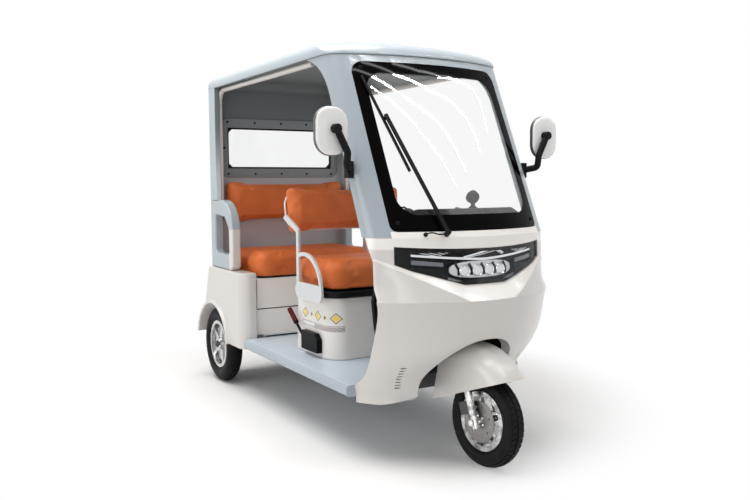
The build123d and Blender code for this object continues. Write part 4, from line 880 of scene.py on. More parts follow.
def bolt_mesh(radius, height):
    """Six-sided head on a washer."""
    verts, faces = [], []
    rings = [(radius * 1.35, 0.0, 18), (radius * 1.35, height * 0.2, 18)]
    for out, up, sides in rings:
        verts += [(out * math.cos(2 * math.pi * k / sides), out * math.sin(2 * math.pi * k / sides), up)
                  for k in range(sides)]
    faces += [(k, (k + 1) % 18, 18 + (k + 1) % 18, 18 + k) for k in range(18)]
    faces += [tuple(reversed(range(18))), tuple(range(18, 36))]
    base = len(verts)
    for up, share in ((height * 0.2, 1.0), (height * 0.9, 1.0), (height, 0.86)):
        verts += [(radius * share * math.cos(math.pi * k / 3), radius * share * math.sin(math.pi * k / 3), up)
                  for k in range(6)]
    for ring in range(2):
        start = base + ring * 6
        faces += [(start + k, start + (k + 1) % 6, start + 6 + (k + 1) % 6, start + 6 + k) for k in range(6)]
    faces += [tuple(base + 12 + k for k in range(6)), tuple(base + 5 - k for k in range(6))]
    return solid_mesh("bolt", verts, faces)


# Shape of the nose, as in the CAD. SHELL: height, reach from the rear axle, half width, bow and corner radius
# at the lip, the ledge and the waist. LAMP_EDGE: side and height. The others: height, reach and bow.
SHELL = ((0.692, 2.002, 0.457, 0.620, 0.095), (0.744, 1.948, 0.456, 0.690, 0.085),
         (0.942, 1.932, 0.447, 0.731, 0.076))
LAMP_EDGE = ((0.0, 0.752), (0.100, 0.752), (0.308, 0.812), (0.370, 0.838), (0.450, 0.872))
LEDGE, WAIST = ((level[0], level[1], level[3]) for level in SHELL[1:])
HEADER = (1.700, 1.545, 1.060)


def nose_point(y, z, sink=0.0):
    """Point on the bowed front at a side distance and height, set in by a depth along the vehicle."""
    low, high = (LEDGE, WAIST) if z < WAIST[0] else (WAIST, HEADER)
    share = (z - low[0]) / (high[0] - low[0])
    nose = low[1] + share * (high[1] - low[1])
    bow = low[2] + share * (high[2] - low[2])
    return Vector((AXLE_X + nose - bow + math.sqrt(bow * bow - y * y) - sink, y, z))


def nose_normal(y, z):
    step = 0.001
    across = nose_point(y + step, z) - nose_point(y - step, z)
    upward = nose_point(y, z + step) - nose_point(y, z - step)
    return across.cross(upward).normalized()


def shell_x(y, z):
    """Front face of the fairing above the ledge, with its rounded sides."""
    low, high = (SHELL[0], SHELL[1]) if z < SHELL[1][0] else (SHELL[1], SHELL[2])
    share = (z - low[0]) / (high[0] - low[0])
    nose, half, bow, corner = (a + (b - a) * share for a, b in zip(low[1:], high[1:]))
    centre, side = nose - bow, half - corner
    turn = centre + math.sqrt((bow - corner) ** 2 - side**2)
    if abs(y) <= bow * math.sin(math.atan2(side, turn - centre)):
        return AXLE_X + centre + math.sqrt(bow**2 - y**2)
    return AXLE_X + turn + math.sqrt(max(corner**2 - (abs(y) - side) ** 2, 0.0))


def lamp_low(y):
    """Lower edge of the lamp at a side distance."""
    for (y0, z0), (y1, z1) in zip(LAMP_EDGE, LAMP_EDGE[1:]):
        if abs(y) <= y1:
            return z0 + (z1 - z0) * (abs(y) - y0) / (y1 - y0)


def nose_ribbon(name, ys, low, high, sink, depth):
    """Plate that follows the lamp band between two height curves."""
    back = sink + depth
    return strip(name, [[nose_point(y, edge(y), inset) for y in ys]
                        for edge, inset in ((low, sink), (high, sink), (high, back), (low, back))])


def nose_pane(name, node, runs, sink, depth, material):
    """Curved pane in place of a CAD node, from rows of (y, z) places on the nose."""
    front, back = ([[nose_point(y, z, inset) for y, z in run] for run in runs]
                   for inset in (sink, sink + depth))
    piece = settle(link(name, grid_shell(name, front, back)), BODY_OF[node], material)
    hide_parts(node)
    return piece


def nose_bar(name, corners, thick, sink, depth):
    """Straight-sided bar along a run of (y, z) corners on the nose."""
    run = []
    for (y0, z0), (y1, z1) in zip(corners, corners[1:]):
        run += [(y0 + (y1 - y0) * k / 10, z0 + (z1 - z0) * k / 10) for k in range(10)]
    run.append(corners[-1])
    sides = ([], [])
    for index, (y, z) in enumerate(run):
        (y0, z0), (y1, z1) = run[max(index - 1, 0)], run[min(index + 1, len(run) - 1)]
        across = Vector((z0 - z1, y1 - y0)).normalized() * thick / 2
        sides[0].append((y - across.x, z - across.y))
        sides[1].append((y + across.x, z + across.y))
    back = sink + depth
    return strip(name, [[nose_point(y, z, inset) for y, z in sides[index]]
                        for index, inset in ((0, sink), (1, sink), (1, back), (0, back))])


def spread(start, end, count):
    return [start + (end - start) * k / (count - 1) for k in range(count)]


# Operators, one for each group of pieces


class TRIKE_OT_wheels(bpy.types.Operator):
    """Tyres with tread, finished rims, drums, bolts and valves"""

    bl_idname = "trike.wheels"
    bl_label = "Wheels"

    def execute(self, context):
        sizes = context.scene.trike_wheels
        wheels = [
            ("rear_left", "rear_left_wheel_spin", 1.0, 0.218, 0.092, 0.138),
            ("rear_right", "rear_right_wheel_spin", -1.0, 0.218, 0.092, 0.138),
            ("front", "front_wheel_spin", -1.0, 0.190, 0.086, 0.122),
        ]
        for name, joint, outside, tyre_r, width, rim_r in wheels:
            centre = Vector(JOINTS[joint]["pos_m"])
            axis = Vector(JOINTS[joint]["axis"]).normalized() * outside
            body = JOINTS[joint]["child"]
            self.tyre(name, centre, axis, body, tyre_r, width, rim_r, sizes)
            dressed(f"{name}_rim", alloy(name == "front"), 0.0016, 30.0)
            self.fittings(name, centre, axis, body, rim_r)
        dressed("front_brake_disc", disc_steel(tuple(JOINTS["front_wheel_spin"]["pos_m"])), 0.0005, 30.0)
        return {"FINISHED"}

    def tyre(self, name, centre, axis, body, tyre_r, width, rim_r, sizes):
        """Turned carcass a tread's depth below the CAD tyre, and rows of blocks that fill it out."""
        half, depth = width / 2, sizes.tread_depth
        rim_half, seat = 0.36 * width, rim_r - 0.0115
        bead = rim_half - 0.009
        crown = 0.56 * width
        shoulder = 0.42 * width
        shoulder_out = tyre_r - crown + math.sqrt(crown**2 - shoulder**2)
        profile = [(-bead, seat), (bead, seat), (bead, rim_r + 0.002), (rim_half, rim_r + 0.004)]
        for k in range(1, 9):
            share = k / 8
            bulge = math.sin(math.pi * share) ** 0.85
            along = rim_half + (shoulder - rim_half) * share + (half - 0.5 * (rim_half + shoulder)) * bulge
            out = rim_r + 0.004 + (shoulder_out - 0.002 - rim_r - 0.004) * share
            profile.append((min(along, half), out))
        for k in range(1, 12):
            along = shoulder - 2 * shoulder * k / 12
            profile.append((along, tyre_r - crown + math.sqrt(crown**2 - along**2) - depth))
        profile += [(-along, out) for along, out in reversed(profile[2:12])]
        material = tyre_rubber(tuple(centre), tuple(axis), rim_r, tyre_r)
        mesh = lathe(f"{name}_tyre_carcass", profile, centre, axis, sizes.lathe_steps)
        piece = settle(link(f"{name}_tyre_carcass", mesh), body, material, 50.0)
        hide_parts(f"{name}_tyre")
        side = axis.orthogonal().normalized()
        up = axis.cross(side)
        count = sizes.tread_count
        pitch = 2 * math.pi * tyre_r / count
        rows = [(0.0, 0.19 * width, 0.86, 0.0, 24.0), (0.27 * width, 0.17 * width, 0.80, 0.5, -28.0),
                (-0.27 * width, 0.17 * width, 0.80, 0.5, -28.0)]
        for index, (along, wide, share, phase, skew) in enumerate(rows):
            spots = []
            for k in range(count):
                turn = 2 * math.pi * (k + phase) / count
                spoke = side * math.cos(turn) + up * math.sin(turn)
                rolling = axis.cross(spoke)
                lean = math.asin(along / crown)
                out = tyre_r - crown + math.sqrt(crown**2 - along**2)
                direction = spoke * math.cos(lean) + axis * math.sin(lean)
                spots.append((centre + axis * along + spoke * out, direction, rolling))
            block = self.block(pitch * share, wide, depth + 0.003, skew if index != 2 else -skew)
            repeated(f"{name}_tread_{index}", block, spots, body, material, 30.0)

    def block(self, length, width, depth, skew):
        """Tread block with a slanted plan and tapered sides."""
        slant = math.tan(math.radians(skew)) * width / 2
        verts, faces = [], []
        for up, shrink in ((-depth, 1.08), (-0.0008, 1.0), (0.0, 0.93)):
            for x, y in ((-1, -1), (0, -1), (1, -1), (1, 1), (0, 1), (-1, 1)):
                verts.append((x * length / 2 * shrink + slant * y, y * width / 2 * shrink, up))
        for ring in range(2):
            faces += [(ring * 6 + k, ring * 6 + (k + 1) % 6, ring * 6 + 6 + (k + 1) % 6, ring * 6 + 6 + k)
                      for k in range(6)]
        faces += [tuple(range(12, 18)), tuple(reversed(range(6)))]
        return solid_mesh("block", verts, faces)

    def fittings(self, name, centre, axis, body, rim_r):
        """Ring of bolts, valve and, on the rear wheels, the drum behind the spokes."""
        front = name == "front"
        side = axis.orthogonal().normalized()
        up = axis.cross(side)
        hub = 0.27 * rim_r
        face = 0.0422 if front else 0.0341
        spots = []
        for k in range(5):
            turn = 2 * math.pi * (k + 0.5) / 5
            spoke = side * math.cos(turn) + up * math.sin(turn)
            spots.append((centre + axis * face + spoke * hub * 0.72, axis, spoke))
        if not front:
            drum = [(-0.012, 0.030), (0.006, 0.030), (0.006, rim_r - 0.030), (0.0, rim_r - 0.024),
                    (-0.012, rim_r - 0.024)]
            mesh = lathe(f"{name}_drum", drum, centre, axis, 48)
            put(f"{name}_drum", mesh, drum_metal(), body)
        repeated(f"{name}_hub_bolts", bolt_mesh(0.0042, 0.0045), spots, body, chrome())
        well = rim_r - 0.020
        spoke = side * math.cos(0.63) + up * math.sin(0.63)
        stem = [centre + spoke * (well + out) + axis * along
                for out, along in ((0.0005, 0.004), (-0.010, 0.012), (-0.016, 0.026))]
        mesh = tube(f"{name}_valve", rounded(stem, 0.006), 0.0032)
        put(f"{name}_valve", mesh, rubber(), body)


class TRIKE_OT_steering(bpy.types.Operator):
    """Fork, fender, handlebar, levers and caliper"""

    bl_idname = "trike.steering"
    bl_label = "Steering"

    def execute(self, context):
        for node, material, bevel in (
                ("fork_sliders", alloy(True), 0.0015), ("fork_crown", chassis_paint(), 0.0015),
                ("front_axle", chrome(), 0.0006), ("front_fender", cream_paint(), 0.0012),
                ("handlebar", chassis_paint(), 0.0), ("grips", rubber(), 0.0015),
                ("brake_caliper", cast_metal(), 0.0025)):
            dressed(node, material, bevel)
        self.grip_ribs()
        return {"FINISHED"}

    def grip_ribs(self):
        """Raised rings along each grip and the levers ahead of them."""
        ends = grip_ends()
        spots = []
        for end, inward in ends:
            along = (inward - end).normalized()
            for k in range(9):
                spots.append((end + along * (0.012 + 0.011 * k), along, along.orthogonal()))
        section = [(-0.002, 0.0158), (-0.001, 0.0172), (0.001, 0.0172), (0.002, 0.0158)]
        ring = lathe("ring", section, (0, 0, 0), (0, 0, 1), 20)
        repeated("grip_rings", ring, spots, "steering", rubber())
        for index, (end, inward) in enumerate(ends):
            along = (inward - end).normalized()
            ahead = Vector((1, 0, 0.25)).normalized()
            run = [end + along * 0.135 + ahead * 0.012, end + along * 0.120 + ahead * 0.045,
                   end + along * 0.015 + ahead * 0.060, end + along * 0.002 + ahead * 0.055]
            mesh = tube(f"brake_lever_{index}", rounded(run, 0.02), 0.0055)
            put(f"brake_lever_{index}", mesh, alloy(False), "steering")
            profile = [(-0.014, 0.0113), (0.014, 0.0113), (0.016, 0.016), (0.012, 0.019), (-0.012, 0.019),
                       (-0.016, 0.016)]
            clamp = lathe(f"lever_clamp_{index}", profile, end + along * 0.137, along, 24)
            put(f"lever_clamp_{index}", clamp, black_plastic(), "steering")


def grip_ends():
    """Outer and inner end of each grip, from the CAD solid."""
    mesh = NODES["grips"].data
    points = np.array([v.co for v in mesh.vertices])
    ends = []
    for side in (-1, 1):
        group = points[points[:, 1] * side > 0]
        outer = group[np.abs(group[:, 1]) > np.abs(group[:, 1]).max() - 0.02]
        inner = group[np.abs(group[:, 1]) < np.abs(group[:, 1]).min() + 0.02]
        ends.append((Vector(outer.mean(axis=0)), Vector(inner.mean(axis=0))))
    return ends


class TRIKE_OT_nose(bpy.types.Operator):
    """Fairing with its ledge, headlamp with projectors and light bars, leg shield"""

    bl_idname = "trike.nose"
    bl_label = "Nose"

    def execute(self, context):
        dressed("front_fairing", fairing_paint(), 0.004, 40.0, 3)
        dressed("headlamp_housing", lamp_black(), 0.0015)
        dressed("leg_shield", black_plastic(), 0.003)
        self.ledge()
        self.lens()
        self.blades()
        self.projectors()
        return {"FINISHED"}

    def lens(self):
        """Clear cover with the lamp's outline."""
        half = (*spread(0.0, 0.100, 9), *spread(0.100, 0.308, 15), *spread(0.308, 0.3698, 6))
        ys = sorted({side * y for y in half for side in (-1, 1)})
        runs = [[(y, lamp_low(y) + (0.895 + 0.013 * (y / 0.37) ** 2 - lamp_low(y)) * share) for y in ys]
                for share in spread(0.0, 1.0, 9)]
        nose_pane("headlamp_cover", "headlamp_lens", runs, 0.005, 0.004, lens_glass())

    def ledge(self):
        """Lip below the lamp that climbs beside it."""
        foot = SHELL[0][0] + 0.0005
        columns = []
        for y in spread(-0.436, 0.436, 97):
            reach = abs(y)
            crest, top = foot + CREST_SLOPE * max(0.0, reach - CREST_START), lamp_low(y) - 0.004
            lean = shell_x(y, foot) - 0.2 * (crest - foot)
            share = (reach / 0.43) ** 2
            peak = max(shell_x(y, crest), lean + (shell_x(y, crest) - lean) * share)
            fade = min(1.0, max(0.0, (0.432 - reach) / 0.072))
            fade = fade * fade * (3 - 2 * fade)
            column = []
            turns = ((foot, shell_x(y, foot)), (crest, peak), (top, shell_x(y, top)))
            for (z0, x0), (z1, x1) in zip(turns, turns[1:]):
                for step in spread(0.0, 1.0, 8):
                    z = z0 + (z1 - z0) * step
                    skin = shell_x(y, z)
                    rise = max(0.0, x0 + (x1 - x0) * step - skin) * fade
                    column.append((Vector((skin + rise + 0.0005, y, z)), Vector((skin - 0.004, y, z))))
            columns.append(column)
        front, back = ([[pair[side] for pair in column] for column in columns] for side in (0, 1))
        mesh = grid_shell("lamp_ledge", front, back)
        put("lamp_ledge", mesh, ledge_paint(), smooth_angle=60.0)

    def blades(self):
        """Chrome band and chevron across the lamp, slim light lines, grey side blocks and the lower edge."""
        band = spread(-0.352, 0.352, 60)
        mesh = nose_ribbon("lamp_band", band, lambda y: 0.8465 + 0.027 * (abs(y) / 0.355) ** 1.3,
                           lambda y: 0.8555 + 0.0265 * (abs(y) / 0.355) ** 1.3, 0.0125, 0.006)
        put("lamp_band", mesh, chrome())
        for name, run, thick, slot, material in (
                ("lamp_chevron", [(-0.098, 0.861), (0.060, 0.8915), (0.107, 0.870)], 0.0065, "steel",
                 chrome()),
                ("lamp_chevron_low", [(-0.075, 0.859), (0.066, 0.8825), (0.100, 0.866)], 0.0022, "lens",
                 light_guide())):
            put(name, nose_bar(name, run, thick, 0.0120, 0.005), material)
        lines = [[(0.338, 0.896), (0.203, 0.867)], [(0.330, 0.9005), (0.190, 0.8715)],
                 [(0.318, 0.9025), (0.245, 0.892), (0.176, 0.8755)],
                 [(0.303, 0.9025), (0.236, 0.899), (0.165, 0.8795)]]
        for side, word in ((-1, "right"), (1, "left")):
            for index, line in enumerate(lines):
                name = f"lamp_line_{word}_{index}"
                mesh = nose_bar(name, [(side * y, z) for y, z in line], 0.0026, 0.0125, 0.004)
                put(name, mesh, light_guide())
            ys = [side * y for y in spread(0.183, 0.328, 14)]
            mesh = nose_ribbon(f"lamp_block_{word}", ys, lambda y: 0.826 + 0.013 * (abs(y) - 0.183) / 0.145,
                               lambda y: 0.8415 + 0.0155 * (abs(y) - 0.183) / 0.145, 0.015, 0.006)
            put(f"lamp_block_{word}", mesh, lamp_grey())
        edge = [(-0.355, 0.8395), (-0.306, 0.8195), (-0.100, 0.7600), (0.100, 0.7600),
                (0.306, 0.8195), (0.355, 0.8395)]
        mesh = nose_bar("lamp_lower_edge", edge, 0.009, 0.0135, 0.005)
        put("lamp_lower_edge", mesh, lamp_grey())

    def projectors(self):
        """Four lenses in chrome cups on one bright oval plate, with dark slanted gaps between them."""

        def bulge(y):
            return 0.034 * (1 - min(1.0, abs(y) / 0.1565) ** 2.6) ** (1 / 2.6)

        ys = [0.156 * math.sin(math.pi / 2 * share) for share in spread(-1.0, 1.0, 36)]
        mesh = nose_ribbon("lamp_plate", ys, lambda y: 0.8105 - bulge(y),
                           lambda y: 0.8105 + bulge(y), 0.022, 0.006)
        put("lamp_plate", mesh, reflector())
        spots = []
        for k in range(4):
            y, z = (k - 1.5) * 0.060, 0.806
            spots.append((nose_point(y, z, 0.0225), nose_normal(y, z), Vector((0, 0, 1))))
        for k in range(5):
            y = (k - 2) * 0.060
            run = [(y - 0.009, 0.834), (y + 0.004, 0.812), (y + 0.003, 0.788)]
            mesh = nose_bar(f"lamp_gap_{k}", run, 0.009, 0.0185, 0.004)
            put(f"lamp_gap_{k}", mesh, lamp_black())
        steps = 28
        section = [(0.0, 0.0235), (0.006, 0.0245), (0.0085, 0.0225), (0.0055, 0.0200), (0.0, 0.0185)]
        cup = lathe("cup", section, (0, 0, 0), (0, 0, 1), steps)
        repeated("projector_cups", cup, spots, "chassis", chrome())
        dome = [(0.0182, 0.0015), (0.0170, 0.0045), (0.0132, 0.0075), (0.0070, 0.0093)]
        verts, faces = [], []
        for out, up in dome:
            verts += [(out * math.cos(2 * math.pi * k / steps), out * math.sin(2 * math.pi * k / steps), up)
                      for k in range(steps)]
        verts += [(0, 0, 0.0098), (0, 0, 0.0)]
        for start in (0, steps, 2 * steps):
            faces += [(start + k, start + (k + 1) % steps, start + steps + (k + 1) % steps, start + steps + k)
                      for k in range(steps)]
        faces += [(3 * steps + k, 3 * steps + (k + 1) % steps, 4 * steps) for k in range(steps)]
        faces += [((k + 1) % steps, k, 4 * steps + 1) for k in range(steps)]
        # The domes share the light guide's faint glow, which is painted light.
        repeated("projector_domes", solid_mesh("dome", verts, faces), spots, "chassis", light_guide())


class TRIKE_OT_screen(bpy.types.Operator):
    """Windscreen and its frame, wiper, buttons, washer nozzle and mirrors"""

    bl_idname = "trike.screen"
    bl_label = "Screen"

    def execute(self, context):
        dressed("windscreen_frame", screen_frame_paint(), 0.006, 40.0, 3)
        self.pane()
        dressed("wiper", black_plastic(), 0.0015)
        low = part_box("mirror_shells")[0]
        dressed("mirror_shells", mirror_shell(low[0]), 0.001)
        dressed("mirror_arms", black_plastic(), 0.002, grow=0.0035)
        dressed("mirror_glasses", mirror_glass(), 0.0005)
        self.buttons()
        self.nozzle()
        return {"FINISHED"}

    def pane(self):
        """Bowed screen with rounded corners."""
        low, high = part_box("windscreen")
        bottom, top, low_corner, top_corner = low[2], high[2], 0.026, 0.055
        arc = [math.sin(math.pi / 2 * share) for share in spread(0.0, 1.0, 9)]
        levels = [bottom + low_corner * (1 - rise) for rise in reversed(arc)]
        levels += spread(bottom + low_corner, top - top_corner, 40)[1:-1]
        levels += [top - top_corner * (1 - rise) for rise in arc]

        def half(z):
            wide = 0.374 + 0.001 * (z - bottom) / (top - bottom)
            for corner, into in ((low_corner, bottom + low_corner - z), (top_corner, z - top + top_corner)):
                if into > 0:
                    return wide - corner + math.sqrt(max(corner**2 - into**2, 0.0))
            return wide

        runs = [[(share * half(z), z) for share in spread(-1.0, 1.0, 49)] for z in levels]
        nose_pane("windscreen_pane", "windscreen", runs, 0.002, 0.006, screen_glass())

    def buttons(self):
        """Round buttons that hold the screen at its corners."""
        spots = []
        for y, z in ((-0.336, 1.640), (0.336, 1.640), (-0.343, 1.000), (0.343, 1.000)):
            normal = nose_normal(y, z)
            spots.append((nose_point(y, z) - normal * 0.0012, normal, Vector((0, 0, 1))))
        repeated("screen_buttons", screw_mesh(0.009, 0.005), spots, "chassis",
                 black_plastic())

    def nozzle(self):
        """Washer nozzle beside the wiper, with its hose."""
        normal = nose_normal(-0.254, 0.954)
        base = nose_point(-0.254, 0.954) + normal * 0.001
        profile = [(0.0, 0.0005), (0.0, 0.009), (0.008, 0.008), (0.014, 0.005), (0.014, 0.0005)]
        cup = lathe("washer_nozzle", profile, base, normal, 18)
        put("washer_nozzle", cup, black_plastic())
        run = [nose_point(-0.254, 0.954) + normal * 0.010, nose_point(-0.230, 0.958) + normal * 0.016,
               nose_point(-0.205, 0.951) + normal * 0.010, nose_point(-0.182, 0.952) + normal * 0.012]
        mesh = tube("washer_hose", rounded(run, 0.02), 0.0028)
        put("washer_hose", mesh, rubber())


class TRIKE_OT_cabin(bpy.types.Operator):
    """Roof, rear wall, rear window with its screws and gasket, cabin tubes"""

    bl_idname = "trike.cabin"
    bl_label = "Cabin"

    def execute(self, context):
        middle = (AXLE_X + 0.72, 0.0, 1.62)
        dressed("roof", lined_shell(middle), 0.004, 45.0, 3)
        dressed("rear_wall", lined_shell((AXLE_X + 0.60, 0.0, 1.25)), 0.006, 40.0, 3)
        dressed("rear_window_frame", grey_plastic(), 0.004, segments=3)
        dressed("rear_window", window_pane(), 0.0)
        dressed("cabin_tubes", cream_paint(), 0.0)
        self.window_screws()
        return {"FINISHED"}

    def window_screws(self):
        """Screws round the window frame, a black gasket round the pane and plates in its corners."""
        low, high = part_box("rear_window_frame")
        pane_low, pane_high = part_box("rear_window")
        x = high[0] + 0.0002
        mid_z = 0.5 * (low[2] + high[2])
        inset = 0.022
        spots = []
        for y in spread(low[1] + 0.045, high[1] - 0.045, 5):
            for z in (low[2] + inset, high[2] - inset):
                spots.append(((x, y, z), (1, 0, 0), (0, 0, 1)))
        for y in (low[1] + inset, high[1] - inset):
            spots.append(((x, y, mid_z), (1, 0, 0), (0, 0, 1)))
        repeated("window_screws", screw_mesh(0.0065, 0.004), spots, "chassis",
                 black_plastic())
        cut = 0.024
        y0, y1, z0, z1 = pane_low[1] + 0.003, pane_high[1] - 0.003, pane_low[2] + 0.003, pane_high[2] - 0.003
        corners = [(y0 + cut, z0), (y1 - cut, z0), (y1, z0 + cut), (y1, z1 - cut), (y1 - cut, z1),
                   (y0 + cut, z1), (y0, z1 - cut), (y0, z0 + cut)]
        mesh = tube("window_gasket", [(pane_high[0] + 0.004, y, z) for y, z in corners], 0.007, 8, True)
        put("window_gasket", mesh, rubber())
        verts, faces, leg = [], [], cut + 0.016
        for y, side in ((y1 + 0.004, -1), (y0 - 0.004, 1)):
            for z, rise in ((z1 + 0.004, -1), (z0 - 0.004, 1)):
                base = len(verts)
                for x in (pane_low[0], pane_high[0] + 0.002):
                    verts += [(x, y, z), (x, y + side * leg, z), (x, y, z + rise * leg)]
                prism = ((0, 1, 2), (3, 4, 5), (0, 1, 4, 3), (1, 2, 5, 4), (2, 0, 3, 5))
                faces += [[base + i for i in face] for face in prism]
        put("window_corners", solid_mesh("window_corners", verts, faces), rubber())


class TRIKE_OT_body(bpy.types.Operator):
    """Floor, rear fenders, guards, bench base, tail panel and lamps"""

    bl_idname = "trike.body"
    bl_label = "Body"

    def execute(self, context):
        dressed("floor_pan", floor_paint(), 0.006, segments=3)
        for side in ("left", "right"):
            dressed(f"rear_fender_{side}", cream_paint(), 0.010, segments=4)
            dressed(f"side_guard_{side}", guard_paint(), 0.012, segments=4)
        # The bench base takes a paler cream, which is painted light.
        dressed("bench_base", bench_paint(), 0.004, segments=3)
        dressed("tail_panel", cream_paint(), 0.004, segments=3)
        dressed("tail_lamps", lamp_red(), 0.004)
        self.seams()
        return {"FINISHED"}

    def seams(self):
        """Dark joints between the panels of the bench base."""
        low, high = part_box("bench_base")
        face = high[0] + 0.0006
        joint, top = 0.4755, high[2] - 0.004
        for name, y0, y1, z0, z1 in (
                ("bench_seam_level", low[1] + 0.012, high[1] - 0.012, 0.4705, joint),
                ("bench_seam_right", low[1] + 0.010, low[1] + 0.013, joint, top),
                ("bench_seam_left", high[1] - 0.013, high[1] - 0.010, joint, top)):
            verts = [(x, y, z) for x in (face - 0.0012, face) for y in (y0, y1) for z in (z0, z1)]
            faces = [(0, 1, 3, 2), (4, 6, 7, 5), (0, 4, 5, 1), (2, 3, 7, 6), (0, 2, 6, 4), (1, 5, 7, 3)]
            put(name, solid_mesh(name, verts, faces), rubber())


class TRIKE_OT_seats(bpy.types.Operator):
    """Padded covers, piping, brackets, pan and pedestal"""

    bl_idname = "trike.seats"
    bl_label = "Seats"

    def execute(self, context):
        for node in ("bench_cushion", "bench_backrest", "driver_cushion", "driver_backrest"):
            self.pad(node, context.scene.trike_seats)
        self.piping()
        dressed("seat_pan", black_plastic(), 0.004)
        dressed("backrest_brackets", bracket_paint(), 0.004, segments=3)
        dressed("seat_pedestal", pedestal_paint(), 0.010, segments=3)
        return {"FINISHED"}

    def piping(self):
        """Pale edge round the back of the driver's backrest."""
        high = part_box("driver_backrest")[1]
        lean = math.radians(9.0)
        middle = Vector((AXLE_X + 0.758, 0.0, 1.022))
        ahead, up = Vector((math.cos(lean), 0, math.sin(lean))), Vector((-math.sin(lean), 0, math.cos(lean)))
        half, tall, corner = high[1] - 0.009, 0.099, 0.070
        run = []
        for side, rise, start in ((1, 1, 0.0), (-1, 1, 0.5), (-1, -1, 1.0), (1, -1, 1.5)):
            for step in spread(start, start + 0.5, 8):
                y = side * (half - corner) + corner * math.cos(math.pi * step)
                z = rise * (tall - corner) + corner * math.sin(math.pi * step)
                run.append(middle - ahead * 0.022 + Vector((0, y, 0)) + up * z)
        mesh = tube("backrest_piping", run, 0.0045, 8, True)
        put("backrest_piping", mesh, white_gloss())

    def pad(self, node, sizes):
        """Stuffed cover that swells out of a slightly smaller block."""
        low, high = (Vector(corner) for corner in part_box(node))
        mesh, bm = merged_copy(node, node + "_cover")
        middle = (low + high) / 2
        size = high - low
        for vert in bm.verts:
            for axis in range(3):
                shrink = 1 - 2 * min(0.007, 0.12 * size[axis]) / size[axis]
                vert.co[axis] = middle[axis] + (vert.co[axis] - middle[axis]) * shrink
        bm.to_mesh(mesh)
        bm.free()
        piece = link(node + "_cover", mesh)
        remesh = piece.modifiers.new("even", "REMESH")
        remesh.mode = "VOXEL"
        remesh.voxel_size = sizes.voxel
        baked = final_mesh(piece)
        piece.modifiers.remove(remesh)
        piece.data = baked
        self.swell(piece, sizes)
        self.keep_inside(piece, node, low, high)
        smooth = piece.modifiers.new("smooth", "SUBSURF")
        smooth.levels = smooth.render_levels = 1
        floor_z = low[2] if "cushion" in node else -1.0
        settle(piece, "chassis", leather(round(floor_z, 4)), 180.0)
        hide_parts(node)

    def swell(self, piece, sizes):
        """Blows the cover up with cloth under pressure, then limits how far each point went."""
        before = np.empty(len(piece.data.vertices) * 3)
        piece.data.vertices.foreach_get("co", before)
        cloth = piece.modifiers.new("cover", "CLOTH")
        cloth.settings.quality = 5
        cloth.settings.mass = 0.3
        cloth.settings.tension_stiffness = 18
        cloth.settings.compression_stiffness = 18
        cloth.settings.bending_stiffness = 1.2
        cloth.settings.use_pressure = True
        cloth.settings.uniform_pressure_force = sizes.pressure
        cloth.settings.effector_weights.gravity = 0
        cloth.collision_settings.use_collision = False
        cloth.point_cache.frame_start = 1
        cloth.point_cache.frame_end = sizes.frames
        scene = bpy.context.scene
        for number in range(1, sizes.frames + 1):
            scene.frame_set(number)
        result = final_mesh(piece)
        after = np.empty(len(result.vertices) * 3)
        result.vertices.foreach_get("co", after)
        piece.modifiers.remove(cloth)
        scene.frame_set(1)
        move = (after - before).reshape(-1, 3)
        length = np.linalg.norm(move, axis=1, keepdims=True)
        move *= np.minimum(1.0, sizes.cap / np.maximum(length, 1e-9))
        piece.data.vertices.foreach_set("co", (before.reshape(-1, 3) + move).ravel())
        piece.data.update()

    def keep_inside(self, piece, node, low, high):
        """A cushion stays flat where it rests and clear of what stands beside it."""
        floor_z = low[2] + 0.0005
        for vert in piece.data.vertices:
            if "cushion" in node:
                vert.co.z = max(vert.co.z, floor_z)
            if node == "bench_backrest":
                vert.co.x = max(vert.co.x, low[0] + 0.0005)
            if node.startswith("driver"):
                vert.co.y = max(min(vert.co.y, high[1]), low[1])
        piece.data.update()


class TRIKE_OT_controls(bpy.types.Operator):
    """Dashboard with its gauge, parking brake and pedal"""

    bl_idname = "trike.controls"
    bl_label = "Controls"

    def execute(self, context):
        dressed("dashboard", black_plastic(0.3), 0.004, segments=3)
        dressed("parking_brake", brake_box(AXLE_X + 0.838), 0.004, segments=3)
        dressed("brake_pedal", black_plastic(), 0.003)
        self.gauge()
        return {"FINISHED"}

    def gauge(self):
        """Small round gauge on a foot on the dashboard."""
        foot = Vector((AXLE_X + 1.795, 0.045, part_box("dashboard")[1][2] - 0.004))
        stem = [(0.0, 0.0005), (0.0, 0.020), (0.006, 0.018), (0.014, 0.009), (0.034, 0.009), (0.034, 0.0005)]
        cup = [(-0.014, 0.0005), (-0.014, 0.022), (-0.008, 0.027), (0.012, 0.028), (0.014, 0.026),
               (0.010, 0.024), (0.010, 0.0005)]
        face = Vector((-0.9, 0.0, 0.44)).normalized()
        for name, profile, place, axis, steps in (
                ("gauge_stem", stem, foot, (0, 0, 1), 20),
                ("gauge_cup", cup, foot + Vector((0, 0, 0.048)), face, 24)):
            put(name, lathe(name, profile, place, axis, steps), black_plastic())


class TRIKE_OT_underbody(bpy.types.Operator):
    """Frame, rear axle, springs, motor and battery"""

    bl_idname = "trike.underbody"
    bl_label = "Underbody"

    def execute(self, context):
        for node, material, bevel in (
                ("chassis_frame", chassis_paint(), 0.002), ("steering_head", chassis_paint(), 0.002),
                ("rear_axle", cast_metal(), 0.0015),
                ("drive_motor", cast_metal(), 0.002), ("leaf_springs", chassis_paint(), 0.001),
                ("battery_pack", black_plastic(), 0.006)):
            dressed(node, material, bevel)
        return {"FINISHED"}


